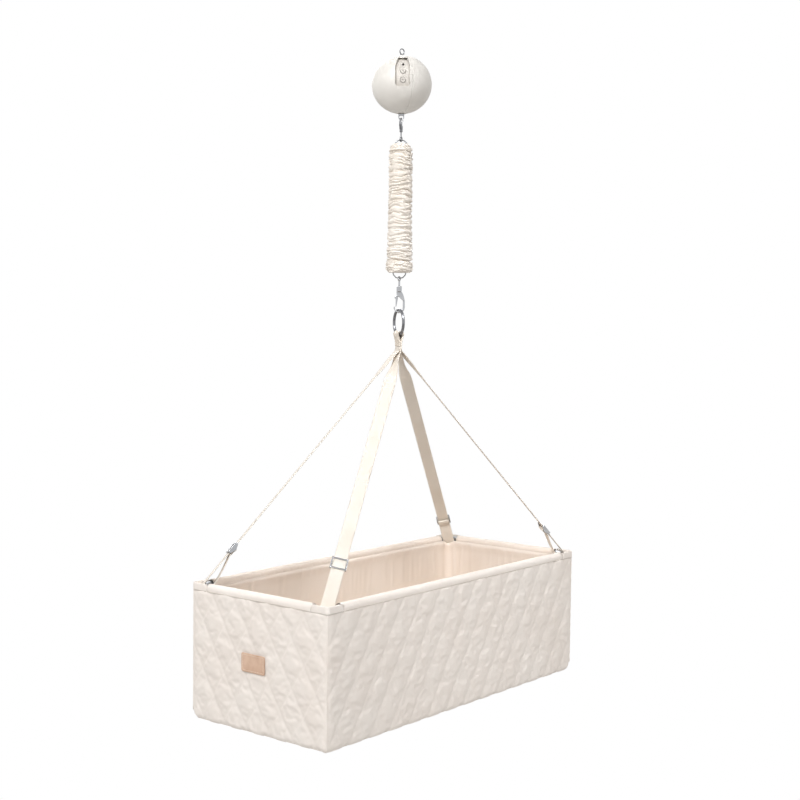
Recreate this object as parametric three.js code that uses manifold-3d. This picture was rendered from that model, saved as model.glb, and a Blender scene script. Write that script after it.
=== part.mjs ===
// Hanging baby cradle: a quilted box on four straps, hung by hooks and a sleeved spring
// from a round motor housing. Millimetres, +Z up, origin in the middle of the ceiling eye.

import * as THREE from 'three';
import { mergeVertices } from 'three/addons/utils/BufferGeometryUtils.js';
import Module from 'manifold-3d';

const wasm = await Module();
wasm.setup();

// Cradle box
const boxLength = 810;
const boxWidth = 350;
const boxHeight = 265;
const cornerRadius = 8;
const seatGap = 0.3;
const overrun = 5;

// Quilted panels
const diamondWidth = 58;
const diamondHeight = 92;
const quiltPuff = 3.2;
const quiltBacking = 2.8;
const earThickness = 3;
const puffRingShare = 0.5;
const puffRingHeightShare = 0.78;
const longQuiltLevel = 181;
const endQuiltLevel = 242;

// Hem, frame and lining
const hemHeight = 15.5;
const hemSpan = 19;
const hemCornerGap = 42;
const hemArcSteps = 5;
const tubeRadius = 6;
const tubeSides = 10;
const elbowRadius = 33;
const elbowSteps = 4;
const roundSteps = 3;
const spigotLength = 28;
const bowReach = 35;
const spigotRadius = 4.5;
const liningWall = 2.4;
const liningCornerDrop = 8;
const liningRadius = 20;

// Base, board and mattress
const basePanelThickness = 3;
const basePanelLift = 1;
const boardThickness = 5;
const mattressHeight = 32;
const mattressCrown = 6;
const mattressPull = 7;
const mattressClearance = 6;
const mattressLengthSteps = 12;
const mattressWidthSteps = 6;
const mattressEdgeRadius = 9;

// Label patch
const labelWidth = 60;
const labelHeight = 35;
const labelThickness = 1.2;
const labelOffset = 8;
const labelLift = 133;
const labelCornerRadius = 3;

// Straps
const strapWidth = 25;
const strapThickness = 1.3;
const strapGap = 0.3;
const neckLength = 8;
const neckLift = 442;
const bendLength = 10;
const twistStart = 24;
const twistLength = 70;
const innerApexDrop = 4;
const legSteps = 6;
const wrapClearance = 0.35;
const wrapInnerOffset = 10.6;
const wrapStart = 40;
const wrapEnd = -155;
const wrapSteps = 8;
const cornerTurnLength = 22;
const midwayShare = 0.5;
const sliderDistances = { front: 92, left: 88, right: 80, back: 62 };
const strapTurn = 60.2;

// Sliders
const sliderLength = 24;
const sliderBarRadius = 1.5;
const sliderRail = 2.6;
const sliderSideGap = 0.4;
const sliderBarInset = 1.8;
const sliderBarSides = 8;
const strapEndTail = 12;
const loopClearance = 0.3;

// Ring and ring webbing
const ringRadius = 26.25;
const ringWire = 6;
const ringSides = 8;
const ringSteps = 24;
const webbingClearance = 1.3;
const webbingLayer = 3;
const webbingArcSteps = 5;
const webbingWidthSteps = 4;
const webbingBendTrim = 2;
const webbingReach = 22;
const webbingCrotch = 14;

// Hooks: the upper one is a smaller copy, hung upside down
const lowerHook = {
  bowRadius: 9.75, wire: 4.5, spineHeight: 31.6, nutHeight: 12.2, nutRadius: 5.5, shankReach: 8.8,
  shankRadius: 2, eyeRadius: 3.9, eyeBar: 3.2, plate: 6, gate: 2.6, rivet: 1.3, eyeTurn: 60,
};
const upperHook = {
  bowRadius: 5.6, wire: 3.6, spineHeight: 15.6, nutHeight: 6.6, nutRadius: 3.4, shankReach: 7.6,
  shankRadius: 1.35, eyeRadius: 4.5, eyeBar: 3, plate: 4.6, gate: 2, rivet: 0.9, eyeTurn: 0,
};
const upperHookTurn = 65;
const gateClearance = 0.35;
const hookSides = 8;
const spineShares = { elbow: 0.42, lean: 0.9, shoulder: 0.5 };
const gateShares = { pivotAcross: 0.3, pivotUp: 0.76, lever: 0.95, leverUp: 0.6 };
const noseAngle = 168;
const swivelHeadShare = 1.55;
const swivelHeadHeight = 2.6;

// Spring and sleeve
const springRadius = 13.6;
const springWire = 2.7;
const springTurns = 21;
const springLength = 219;
const springStepsPerTurn = 8;
const springSides = 5;
const loopSteps = 12;
const loopSides = 6;
const sleeveDiameter = 50.5;
const sleeveBottomDiameter = 55;
const sleeveLength = 259.4;
const sleeveLead = 5.4;
const sleevePuckers = 20;
const sleevePuckerDepth = 3.4;
const sleeveSides = 14;
const sleeveCuff = 16;
const sleeveCuffTaper = 9;

// Motor housing
const viewTurn = -51;
const housingWidth = 121.5;
const housingHeight = 116.5;
const housingWall = 2.4;
const poleThickness = 4.5;
const housingSides = 26;
const housingRings = 11;
const coreSides = 14;
const coreRings = 8;
const seamTurn = 21;
const eyeLift = 7.5;
const eyeRadius = 5.4;
const eyeWire = 2.6;
const eyeTurn = 36;
const eyeShankRadius = 2.5;
const eyeShankLength = 19;
const collarRadius = 7;
const collarThickness = 0.8;
const nutAcross = 8;
const nutThickness = 4;

// Control recess
const recessWidth = 29;
const recessTop = 0.412 * housingHeight;
const recessBottom = 0.103 * housingHeight;
const recessOffset = 1.6;
const recessDepth = 5;
const recessWall = 1.6;
const recessWallDepth = 7.5;
const recessTopShare = 0.62;
const recessShoulder = 0.1545 * housingHeight;
const recessRadius = 6;
const panelThickness = 2.2;
const buttonRadius = 5.2;
const buttonProud = 1.3;
const buttonLength = 6;
const buttonOffset = 2.5;
const startButtonLift = 0.177 * housingHeight;
const modeButtonLift = 0.0086 * housingHeight;
const lensLift = 0.303 * housingHeight;
const lensRadius = 1.7;
const pegRadius = 1.5;
const pegOffset = 10;
const pegLiftShares = [0.22, 0.52];

// Drive
const gearModule = 1.5;
const pinionTeeth = 12;
const pressureAngle = 20;
const gearFace = 8;
const gearBacklash = 0.45;
const toothTipShare = 0.85;
const toothRootShare = 1.2;
const flankSteps = 4;
const rackWidth = 8;
const rackTeethBelow = 2;
const driveStroke = 20;
const pinionShaftRadius = 3;
const runningGap = 0.3;
const chassisThickness = 3;
const chassisBack = 13;
const chassisLeft = 34;
const chassisRight = 27;
const chassisTopRadius = 13;
const chassisTopFront = 5;
const chassisFoot = 12;
const chassisShoulder = 0.2575 * housingHeight;
const chassisTopDrop = 6.5;
const spacerRadius = 5;
const windowRadius = 5;
const windowLiftShare = 0.55;
const tenonRadius = 2;
const tenonLength = 2.4;
const motorRadius = 14;
const motorLength = 31;
const motorSides = 12;
const batterySize = { width: 25, depth: 23, height: 0.378 * housingHeight };
const boardSize = { width: 24, depth: 1.6, height: 0.309 * housingHeight };
const boardLift = 0.12 * housingHeight;
const boardDistance = 34;
const bushRadius = 9.5;
const bushFlange = 11.5;
const bushFlangeThickness = 2;
const bossRadius = 4;
const bossReach = 8;
const bossDistance = 48;
const bossDrop = 0.24 * housingHeight;
const screwHeadRadius = 2.9;
const screwHeadHeight = 2.4;
const screwShankRadius = 1.5;
const liftLoopWidth = 12;
const liftLoopWire = 2.4;
const liftLoopDrop = 13.5;
const liftBlockHeight = 4;
const liftBlockDepth = 6;

// Heights down the hanging line, each from what carries it
const housingCentre = -eyeLift - housingHeight / 2;
const housingBottom = -eyeLift - housingHeight;
const liftBarTop = housingBottom - liftLoopDrop + liftLoopWire;
const upperBowCentre = liftBarTop + seatGap - upperHook.bowRadius + upperHook.wire / 2;
const upperNutEnd = upperBowCentre - upperHook.spineHeight - upperHook.nutHeight;
const upperEyeCentre = upperNutEnd - upperHook.shankReach - upperHook.eyeRadius - upperHook.eyeBar / 2;
const upperEyeSeat = upperEyeCentre - upperHook.eyeRadius + upperHook.eyeBar / 2;
const topLoopCentre = upperEyeSeat + seatGap + springWire / 2 - springRadius;
const coilTop = topLoopCentre - springRadius - springWire - seatGap;
const coilBottom = coilTop - springLength;
const bottomLoopCentre = coilBottom - springWire - seatGap - springRadius;
const lowerEyeSeat = bottomLoopCentre - springRadius + springWire / 2 + seatGap;
const lowerEyeCentre = lowerEyeSeat - lowerHook.eyeRadius + lowerHook.eyeBar / 2;
const lowerNutEnd = lowerEyeCentre - lowerHook.eyeRadius - lowerHook.shankReach - lowerHook.eyeBar / 2;
const lowerBowCentre = lowerNutEnd - lowerHook.nutHeight - lowerHook.spineHeight;
const ringTop = lowerBowCentre - lowerHook.bowRadius + lowerHook.wire / 2 + seatGap + ringWire;
const ringCentre = ringTop - ringWire / 2 - ringRadius;
const ringLow = ringCentre - ringRadius;
const sleeveTop = topLoopCentre + sleeveLead;
const neckTop = ringLow - webbingReach;
const rimTop = neckTop - neckLength - neckLift;
const boxBottom = rimTop - boxHeight;

// Finishes
const finishes = {
  shell: { color: 0xeeedeb, roughness: 0.55, metalness: 0 },
  panel: { color: 0xd9d6d0, roughness: 0.5, metalness: 0 },
  steel: { color: 0xb9bbbd, roughness: 0.28, metalness: 1 },
  chrome: { color: 0xd5d7da, roughness: 0.12, metalness: 1 },
  brass: { color: 0xb59a5a, roughness: 0.35, metalness: 1 },
  nylon: { color: 0xdedede, roughness: 0.6, metalness: 0 },
  circuit: { color: 0x2f6b45, roughness: 0.6, metalness: 0 },
  cells: { color: 0x4a4d52, roughness: 0.6, metalness: 0 },
  lens: { color: 0x3a2f2c, roughness: 0.2, metalness: 0 },
  sleeve: { color: 0xf0e6da, roughness: 0.9, metalness: 0 },
  webbing: { color: 0xe9dccd, roughness: 0.85, metalness: 0 },
  quilt: { color: 0xefe8df, roughness: 0.9, metalness: 0 },
  lining: { color: 0xe3d3c3, roughness: 0.9, metalness: 0 },
  board: { color: 0xc9ad84, roughness: 0.7, metalness: 0 },
  leather: { color: 0xdcbfa9, roughness: 0.65, metalness: 0 },
};

const axisX = new THREE.Vector3(1, 0, 0);
const axisY = new THREE.Vector3(0, 1, 0);
const axisZ = new THREE.Vector3(0, 0, 1);
const mergeStep = 1e-4;
const fullTurn = 2 * Math.PI;
const radians = THREE.MathUtils.degToRad;

// Solids from closed triangle lists

function signedVolume(position, index) {
  const a = new THREE.Vector3();
  const b = new THREE.Vector3();
  const c = new THREE.Vector3();
  let volume = 0;
  for (let i = 0; i < index.length; i += 3) {
    a.fromBufferAttribute(position, index[i]);
    b.fromBufferAttribute(position, index[i + 1]);
    c.fromBufferAttribute(position, index[i + 2]);
    volume += a.dot(b.cross(c));
  }
  return volume;
}

function closedIndex(geometry) {
  const kept = [];
  const all = geometry.index.array;
  for (let i = 0; i < all.length; i += 3) {
    const [a, b, c] = [all[i], all[i + 1], all[i + 2]];
    if (a !== b && b !== c && c !== a) kept.push(a, b, c);
  }
  if (signedVolume(geometry.attributes.position, kept) > 0) return kept;
  return kept.reverse();
}

function toSolid(geometry) {
  const bare = geometry.clone();
  bare.deleteAttribute('normal');
  bare.deleteAttribute('uv');
  const merged = mergeVertices(bare, mergeStep);
  return new wasm.Manifold(new wasm.Mesh({
    numProp: 3,
    vertProperties: new Float32Array(merged.attributes.position.array),
    triVerts: new Uint32Array(closedIndex(merged)),
  }));
}

function toGeometry(solid) {
  const mesh = solid.getMesh();
  const geometry = new THREE.BufferGeometry();
  geometry.setAttribute('position', new THREE.BufferAttribute(mesh.vertProperties, 3));
  geometry.setIndex(new THREE.BufferAttribute(mesh.triVerts, 1));
  geometry.computeVertexNormals();
  return geometry;
}

function join(...geometries) {
  return toGeometry(geometries.map(toSolid).reduce((whole, piece) => whole.add(piece)));
}

function cut(geometry, ...tools) {
  return toGeometry(tools.map(toSolid).reduce((whole, tool) => whole.subtract(tool), toSolid(geometry)));
}

function common(...geometries) {
  return toGeometry(geometries.map(toSolid).reduce((whole, piece) => whole.intersect(piece)));
}

// Shapes shared by many pieces

function block(width, depth, height, x = 0, y = 0, z = 0) {
  return new THREE.BoxGeometry(width, depth, height).translate(x, y, z);
}

function circleShape(radius, sides) {
  const points = [];
  for (let i = 0; i < sides; i += 1) {
    const angle = fullTurn * i / sides;
    points.push(new THREE.Vector2(radius * Math.cos(angle), radius * Math.sin(angle)));
  }
  return new THREE.Shape(points);
}

function prism(shape, height, curveSegments = roundSteps) {
  return new THREE.ExtrudeGeometry(shape, { depth: height, bevelEnabled: false, curveSegments });
}

function rod(radius, length, sides) {
  return prism(circleShape(radius, sides), length);
}

function rodAlongY(radius, length, sides, x, y, z) {
  return rod(radius, length, sides).rotateX(-Math.PI / 2).translate(x, y, z);
}

function revolve(profile, sides) {
  const points = profile.map(([radius, height]) => new THREE.Vector2(radius, height));
  return new THREE.LatheGeometry(points, sides).rotateX(Math.PI / 2);
}

function ringGeometry(radius, wire, sides, steps) {
  return new THREE.TorusGeometry(radius, wire / 2, sides, steps).rotateX(Math.PI / 2);
}

function roundedRectangle(width, depth, radius) {
  const x = width / 2;
  const y = depth / 2;
  const shape = new THREE.Shape();
  shape.absarc(x - radius, y - radius, radius, 0, Math.PI / 2);
  shape.absarc(radius - x, y - radius, radius, Math.PI / 2, Math.PI);
  shape.absarc(radius - x, radius - y, radius, Math.PI, -Math.PI / 2);
  shape.absarc(x - radius, radius - y, radius, -Math.PI / 2, 0);
  return shape;
}

function loft(rings, loop = false) {
  const size = rings[0].length;
  const index = [];
  const spans = loop ? rings.length : rings.length - 1;
  for (let i = 0; i < spans; i += 1) {
    const here = i * size;
    const next = ((i + 1) % rings.length) * size;
    for (let j = 0; j < size; j += 1) {
      const k = (j + 1) % size;
      index.push(here + j, here + k, next + k, here + j, next + k, next + j);
    }
  }
  const end = (rings.length - 1) * size;
  for (let j = 1; !loop && j < size - 1; j += 1) {
    index.push(0, j + 1, j, end, end + j, end + j + 1);
  }
  const geometry = new THREE.BufferGeometry();
  geometry.setAttribute('position', new THREE.Float32BufferAttribute(
    rings.flat().flatMap((point) => point.toArray()), 3));
  geometry.setIndex(index);
  geometry.setIndex(closedIndex(geometry));
  return geometry;
}

function sectionCircle(radius, sides) {
  return circleShape(radius, sides).getPoints().slice(0, sides).map((point) => [point.x, point.y]);
}

// A section carried along points that lie in one plane
function sweep(path, section, planeNormal) {
  const last = path.length - 1;
  const rings = path.map((point, i) => {
    const along = path[Math.min(i + 1, last)].clone().sub(path[Math.max(i - 1, 0)]).normalize();
    const side = new THREE.Vector3().crossVectors(along, planeNormal).normalize();
    return section.map(([a, b]) => point.clone().addScaledVector(side, a).addScaledVector(planeNormal, b));
  });
  return loft(rings);
}

// Points of an arc in the XZ plane, angles in degrees from +X towards +Z
function arcPoints(centreX, centreZ, radius, from, to, steps) {
  const points = [];
  for (let i = 0; i <= steps; i += 1) {
    const angle = radians(from + (to - from) * i / steps);
    const across = radius * Math.cos(angle);
    const high = radius * Math.sin(angle);
    points.push(new THREE.Vector3(centreX + across, 0, centreZ + high));
  }
  return points;
}

function smooth(value) {
  const t = THREE.MathUtils.clamp(value, 0, 1);
  return t * t * (3 - 2 * t);
}

const cradle = new THREE.Group();
const view = new THREE.Group();
view.rotation.z = radians(viewTurn);
cradle.add(view);

function addPiece(parent, name, geometry, finish) {
  const mesh = new THREE.Mesh(geometry, new THREE.MeshStandardMaterial(finishes[finish]));
  mesh.name = name;
  parent.add(mesh);
  return mesh;
}

// Motor housing, built as seen from the front: X to the right, -Y towards the viewer

const housing = new THREE.Group();
housing.position.z = housingCentre;
view.add(housing);

function ellipsoid(inset, sides, rings) {
  const radius = housingWidth / 2 - inset;
  return new THREE.SphereGeometry(1, sides, rings)
    .rotateX(Math.PI / 2)
    .scale(radius, radius, housingHeight / 2 - inset);
}

function shellReach(height, inset = 0) {
  const share = height / (housingHeight / 2 - inset);
  return (housingWidth / 2 - inset) * Math.sqrt(1 - share * share);
}

function recessShape(grow) {
  const half = recessWidth / 2 + grow;
  const top = recessTop + grow;
  const bottom = -recessBottom - grow;
  const shape = new THREE.Shape();
  const bend = recessRadius;
  shape.absarc(recessOffset + half - bend, bottom + bend, bend, -Math.PI / 2, 0);
  shape.lineTo(recessOffset + half, top - recessShoulder);
  shape.lineTo(recessOffset + half * recessTopShare, top);
  shape.lineTo(recessOffset - half * recessTopShare, top);
  shape.lineTo(recessOffset - half, top - recessShoulder);
  shape.absarc(recessOffset - half + bend, bottom + bend, bend, Math.PI, -Math.PI / 2);
  return shape;
}

function recessPrism(grow) {
  return prism(recessShape(grow), housingWidth).rotateX(Math.PI / 2);
}

function halfSpace(side) {
  const reach = (housingWidth + seatGap) / 2;
  return block(housingWidth, 2 * housingWidth, 2 * housingWidth, side * reach).rotateZ(radians(seamTurn));
}

// A bar along the seam's normal, at one of the two bosses
function seamBar(radius, from, to, side) {
  return rod(radius, to - from, hookSides)
    .rotateY(Math.PI / 2)
    .translate(from, side * bossDistance, -bossDrop)
    .rotateZ(radians(seamTurn));
}

function bareShell() {
  const coreHeight = housingHeight - 2 * poleThickness;
  const eyeHole = rod(eyeShankRadius + seatGap, housingHeight, hookSides);
  const bushHole = rod(bushRadius + seatGap, housingHeight, coreSides).translate(0, 0, -housingHeight);
  return cut(
    ellipsoid(0, housingSides, housingRings),
    common(ellipsoid(housingWall, coreSides, coreRings), block(housingWidth, housingWidth, coreHeight)),
    eyeHole,
    bushHole,
  );
}

function recessRim() {
  return common(
    cut(recessPrism(recessWall), recessPrism(0)),
    cut(
      ellipsoid(housingWall / 2, housingSides, housingRings),
      ellipsoid(recessWallDepth, coreSides, coreRings),
    ),
  );
}

function seamBosses(side) {
  const bars = [-1, 1].map((end) => seamBar(bossRadius, -bossReach, bossReach, end));
  return common(join(...bars), ellipsoid(housingWall / 2, housingSides, housingRings), halfSpace(side));
}

function makeShells() {
  const boreReach = bossReach + overrun;
  const bores = [-1, 1].map((end) => seamBar(screwShankRadius + seatGap, -boreReach, boreReach, end));
  const wells = [-1, 1].map((end) => seamBar(screwHeadRadius + seatGap, bossReach, housingWidth, end));
  const front = common(cut(join(bareShell(), recessRim()), recessPrism(0)), halfSpace(-1));
  const back = common(bareShell(), halfSpace(1));
  addPiece(housing, 'housing_shell_front', cut(join(front, seamBosses(-1)), ...bores), 'shell');
  addPiece(housing, 'housing_shell_back', cut(join(back, seamBosses(1)), ...bores, ...wells), 'shell');
}

function makeHousingScrews() {
  [-1, 1].forEach((end, i) => {
    const head = seamBar(screwHeadRadius, bossReach + seatGap, bossReach + seatGap + screwHeadHeight, end);
    const shank = seamBar(screwShankRadius, seatGap - bossReach, bossReach + screwHeadHeight, end);
    addPiece(housing, `housing_screw_${i + 1}`, join(head, shank), 'steel');
  });
}

// Where a control sits: a frame on the panel whose Z leans out along the shell's normal
function controlFrame(lift) {
  const frame = new THREE.Group();
  const reach = shellReach(lift);
  const width = housingWidth / 2;
  const height = housingHeight / 2;
  const lean = Math.atan2(lift / (height * height), reach / (width * width));
  frame.position.set(buttonOffset, -reach, lift);
  frame.rotation.x = Math.PI / 2 - lean;
  frame.updateMatrix();
  return frame;
}

function controlHole(lift, radius) {
  return rod(radius + seatGap, 2 * recessWallDepth, motorSides)
    .translate(0, 0, -2 * recessWallDepth)
    .applyMatrix4(controlFrame(lift).matrix);
}

function panelPeg(share) {
  const lift = recessTop * share;
  const back = boardDistance + boardSize.depth / 2 + seatGap;
  const reach = shellReach(lift, recessDepth + panelThickness / 2);
  return rodAlongY(pegRadius, reach - back, hookSides, recessOffset - pegOffset, -reach, lift);
}

function makeControlPanel() {
  const plate = common(
    recessPrism(-seatGap),
    cut(
      ellipsoid(recessDepth, coreSides, coreSides),
      ellipsoid(recessDepth + panelThickness, coreSides, coreSides),
    ),
  );
  const holes = [
    controlHole(startButtonLift, buttonRadius),
    controlHole(modeButtonLift, buttonRadius),
    controlHole(lensLift, lensRadius),
  ];
  addPiece(housing, 'control_panel', join(cut(plate, ...holes), ...pegLiftShares.map(panelPeg)), 'panel');
}

function makeControl(name, lift, radius, length, finish) {
  const top = buttonProud - recessDepth;
  const edge = radius * toothTipShare;
  const profile = [
    [0, top - length], [radius, top - length], [radius, top - buttonProud / 2], [edge, top], [0, top],
  ];
  const frame = controlFrame(lift);
  housing.add(frame);
  addPiece(frame, name, common(revolve(profile, coreSides)), finish);
}

function makeCircuitBoard() {
  const { width, depth, height } = boardSize;
  const plate = block(width, depth, height, recessOffset, -boardDistance, boardLift);
  addPiece(housing, 'circuit_board', plate, 'circuit');
}

// Drive: the pinion turns on the motor's shaft and lowers the rack through the bush

const pitchRadius = gearModule * pinionTeeth / 2;
const toothPitch = Math.PI * gearModule;
const toothTip = gearModule * toothTipShare;
const toothRoot = gearModule * toothRootShare;
const pitchLine = rackWidth / 2 - toothTip;
const pinionCentre = pitchLine + pitchRadius;
const rackTeethAbove = Math.ceil(driveStroke / toothPitch) + 1;

function involuteOf(angle) {
  return Math.tan(angle) - angle;
}

// Half of a tooth's angle at a radius, on an involute flank and radial below its base circle
function toothHalfAngle(radius) {
  const pressure = radians(pressureAngle);
  const base = pitchRadius * Math.cos(pressure);
  const flank = Math.acos(Math.min(1, base / radius));
  const atPitch = (toothPitch - gearBacklash) / (4 * pitchRadius);
  return atPitch + involuteOf(pressure) - involuteOf(flank);
}

function pinionShape() {
  const points = [];
  for (let tooth = 0; tooth < pinionTeeth; tooth += 1) {
    const middle = fullTurn * (tooth + 1 / 2) / pinionTeeth;
    for (let i = -flankSteps; i <= flankSteps; i += 1) {
      if (i === 0) continue;
      const share = 1 - (Math.abs(i) - 1) / (flankSteps - 1);
      const radius = THREE.MathUtils.lerp(pitchRadius - toothRoot, pitchRadius + toothTip, share);
      const angle = middle + Math.sign(i) * toothHalfAngle(radius);
      points.push(new THREE.Vector2(radius * Math.cos(angle), radius * Math.sin(angle)));
    }
  }
  return new THREE.Shape(points);
}

function makePinion() {
  const gear = prism(pinionShape(), gearFace).translate(0, 0, -gearFace / 2).rotateX(Math.PI / 2);
  const shaft = rodAlongY(pinionShaftRadius, chassisBack + gearFace, hookSides, 0, 0, 0);
  addPiece(housing, 'drive_pinion', join(gear, shaft).translate(pinionCentre, 0, 0), 'brass');
}

function rackShape() {
  const slope = Math.tan(radians(pressureAngle));
  const atPitch = (toothPitch - gearBacklash) / 4;
  const root = pitchLine - toothRoot;
  const low = -rackTeethBelow * toothPitch - toothPitch / 2;
  const high = rackTeethAbove * toothPitch + toothPitch / 2;
  const bottom = -housingHeight / 2;
  const points = [[-rackWidth / 2, bottom], [rackWidth / 2, bottom], [rackWidth / 2, low], [root, low]];
  for (let tooth = -rackTeethBelow; tooth <= rackTeethAbove; tooth += 1) {
    const middle = tooth * toothPitch;
    points.push([root, middle - atPitch - toothRoot * slope]);
    points.push([rackWidth / 2, middle - atPitch + toothTip * slope]);
    points.push([rackWidth / 2, middle + atPitch - toothTip * slope]);
    points.push([root, middle + atPitch + toothRoot * slope]);
  }
  points.push([root, high], [-rackWidth / 2, high]);
  return new THREE.Shape(points.map(([x, z]) => new THREE.Vector2(x, z)));
}

function makeDriveRod() {
  const bar = prism(rackShape(), rackWidth).translate(0, 0, -rackWidth / 2).rotateX(Math.PI / 2);
  const tenon = rod(tenonRadius, tenonLength + gearFace, hookSides)
    .translate(0, 0, -housingHeight / 2 - tenonLength);
  addPiece(housing, 'drive_rod', join(bar, tenon), 'steel');
}

function makeLiftLoop() {
  const wire = liftLoopWire / 2;
  const bend = liftLoopWidth / 2 - wire;
  const top = -housingHeight / 2 - seatGap;
  const centre = -housingHeight / 2 - liftLoopDrop + liftLoopWidth / 2;
  const legTop = top - liftBlockHeight / 2;
  const path = [
    new THREE.Vector3(-bend, 0, legTop),
    ...arcPoints(0, centre, bend, -180, 0, elbowSteps * 2),
    new THREE.Vector3(bend, 0, legTop),
  ];
  const loop = sweep(path, sectionCircle(wire, hookSides), axisY);
  const bar = block(liftLoopWidth, liftBlockDepth, liftBlockHeight, 0, 0, top - liftBlockHeight / 2);
  const socket = rod(tenonRadius + seatGap, liftBlockHeight, hookSides)
    .translate(0, 0, top - tenonLength - seatGap);
  addPiece(housing, 'lift_loop', cut(join(loop, bar), socket), 'chrome');
}

function makeGuideBush() {
  const hole = block(rackWidth + 2 * seatGap, rackWidth + 2 * seatGap, 2 * housingHeight);
  const seat = poleThickness - housingHeight / 2 + seatGap;
  const low = -housingHeight / 2;
  const profile = [
    [0, low], [bushRadius, low], [bushRadius, seat], [bushFlange, seat],
    [bushFlange, seat + bushFlangeThickness], [0, seat + bushFlangeThickness],
  ];
  addPiece(housing, 'guide_bush', cut(revolve(profile, coreSides), hole), 'nylon');
  return seat + bushFlangeThickness;
}

function chassisWebShape(foot) {
  const top = housingHeight / 2 - poleThickness - chassisTopDrop;
  const outline = [
    [-chassisFoot, foot], [chassisFoot, foot], [chassisFoot, foot + chassisFoot],
    [chassisRight, -chassisShoulder], [chassisRight, chassisShoulder], [chassisTopRadius, top],
    [-chassisTopRadius, top], [-chassisLeft, chassisShoulder], [-chassisLeft, -chassisShoulder],
    [-chassisFoot, foot + chassisFoot],
  ];
  const shape = new THREE.Shape(outline.map(([x, z]) => new THREE.Vector2(x, z)));
  const shaftHole = new THREE.Path();
  shaftHole.absarc(pinionCentre, 0, pinionShaftRadius + runningGap, 0, fullTurn);
  shape.holes.push(shaftHole);
  [-1, 1].forEach((side) => {
    const window = new THREE.Path();
    window.absarc(0, side * windowLiftShare * top, windowRadius, 0, fullTurn);
    shape.holes.push(window);
  });
  return shape;
}

function makeChassis(bushTop) {
  const foot = bushTop + seatGap;
  const top = housingHeight / 2 - poleThickness - chassisTopDrop;
  const web = prism(chassisWebShape(foot), chassisThickness, motorSides / 2)
    .rotateX(Math.PI / 2)
    .translate(0, chassisBack, 0);
  const topPlate = block(2 * chassisTopRadius, chassisBack + chassisTopFront, chassisThickness,
    0, (chassisBack - chassisTopFront) / 2, top - chassisThickness / 2);
  const spacer = rod(spacerRadius, chassisThickness + chassisTopDrop - seatGap, coreSides)
    .translate(0, 0, top - chassisThickness);
  const footPlate = block(2 * chassisFoot, chassisBack + chassisFoot, chassisThickness,
    0, (chassisBack - chassisFoot) / 2, foot + chassisThickness / 2);
  const shankHole = rod(eyeShankRadius + seatGap, housingHeight, hookSides);
  const rodHole = block(rackWidth + 4 * seatGap, rackWidth + 4 * seatGap, housingHeight, 0, 0, foot);
  const sheet = join(web, topPlate, spacer, footPlate);
  addPiece(housing, 'chassis_plate', cut(sheet, shankHole, rodHole), 'steel');
  return top - chassisThickness;
}

function makeGearMotor() {
  const front = chassisBack + seatGap;
  const step = motorLength * toothTipShare;
  const waist = motorRadius * toothTipShare;
  const profile = [
    [0, 0], [motorRadius, 0], [motorRadius, step], [waist, step], [waist, motorLength], [0, motorLength],
  ];
  const bore = rod(pinionShaftRadius + runningGap, gearFace + overrun, hookSides)
    .translate(0, 0, -overrun + runningGap);
  const body = cut(revolve(profile, motorSides), bore)
    .rotateX(-Math.PI / 2)
    .translate(pinionCentre, front, 0);
  addPiece(housing, 'gear_motor', body, 'cells');
}

function makeBatteryPack() {
  const { width, depth, height } = batterySize;
  const shape = roundedRectangle(width, depth, width / 4);
  const pack = prism(shape, height).translate(-chassisLeft + width / 2, 0, -height / 2);
  const back = chassisBack - chassisThickness - seatGap;
  addPiece(housing, 'battery_pack', pack.translate(0, back - depth / 2, 0), 'cells');
}

function makeTopEye(plateUnderside) {
  const pole = housingHeight / 2;
  const ring = ringGeometry(eyeRadius, eyeWire, hookSides, coreSides)
    .rotateZ(radians(eyeTurn))
    .translate(0, 0, pole + eyeLift);
  const shank = rod(eyeShankRadius, eyeShankLength + eyeLift - eyeRadius, hookSides)
    .translate(0, 0, pole - eyeShankLength);
  const collarShape = [
    [0, 0], [collarRadius, 0], [collarRadius * toothTipShare, collarThickness], [0, collarThickness],
  ];
  const bore = rod(eyeShankRadius + seatGap, 2 * overrun, hookSides).translate(0, 0, -overrun);
  const collar = cut(revolve(collarShape, coreSides), bore).translate(0, 0, pole + seatGap);
  const nut = cut(prism(circleShape(nutAcross / Math.sqrt(3), 6), nutThickness), bore)
    .translate(0, 0, plateUnderside - nutThickness - seatGap);
  addPiece(housing, 'top_eye', join(ring, shank), 'chrome');
  addPiece(housing, 'eye_collar', collar, 'chrome');
  addPiece(housing, 'eye_nut', nut, 'steel');
}

makeShells();
makeHousingScrews();
makeControlPanel();
makeControl('start_button', startButtonLift, buttonRadius, buttonLength, 'panel');
makeControl('mode_button', modeButtonLift, buttonRadius, buttonLength, 'panel');
makeControl('status_lens', lensLift, lensRadius, buttonLength, 'lens');
makeCircuitBoard();
makePinion();
makeDriveRod();
makeLiftLoop();
makeTopEye(makeChassis(makeGuideBush()));
makeGearMotor();
makeBatteryPack();

// Snap hooks, each built with its bow at the bottom and its bow's centre at the origin

function spinePath(hook) {
  const { bowRadius, spineHeight } = hook;
  const elbow = new THREE.Vector3(bowRadius, 0, spineHeight * spineShares.elbow);
  const lean = new THREE.Vector3(bowRadius, 0, spineHeight * spineShares.lean);
  const top = new THREE.Vector3(bowRadius * spineShares.shoulder / 2, 0, spineHeight);
  const curve = new THREE.QuadraticBezierCurve3(elbow, lean.lerp(top, spineShares.shoulder), top);
  const bow = arcPoints(0, 0, bowRadius, -360 + noseAngle, 0, 2 * elbowSteps);
  return [...bow, ...curve.getPoints(elbowSteps)];
}

function gatePivot(hook) {
  return { x: -hook.bowRadius * gateShares.pivotAcross, z: hook.spineHeight * gateShares.pivotUp };
}

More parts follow.
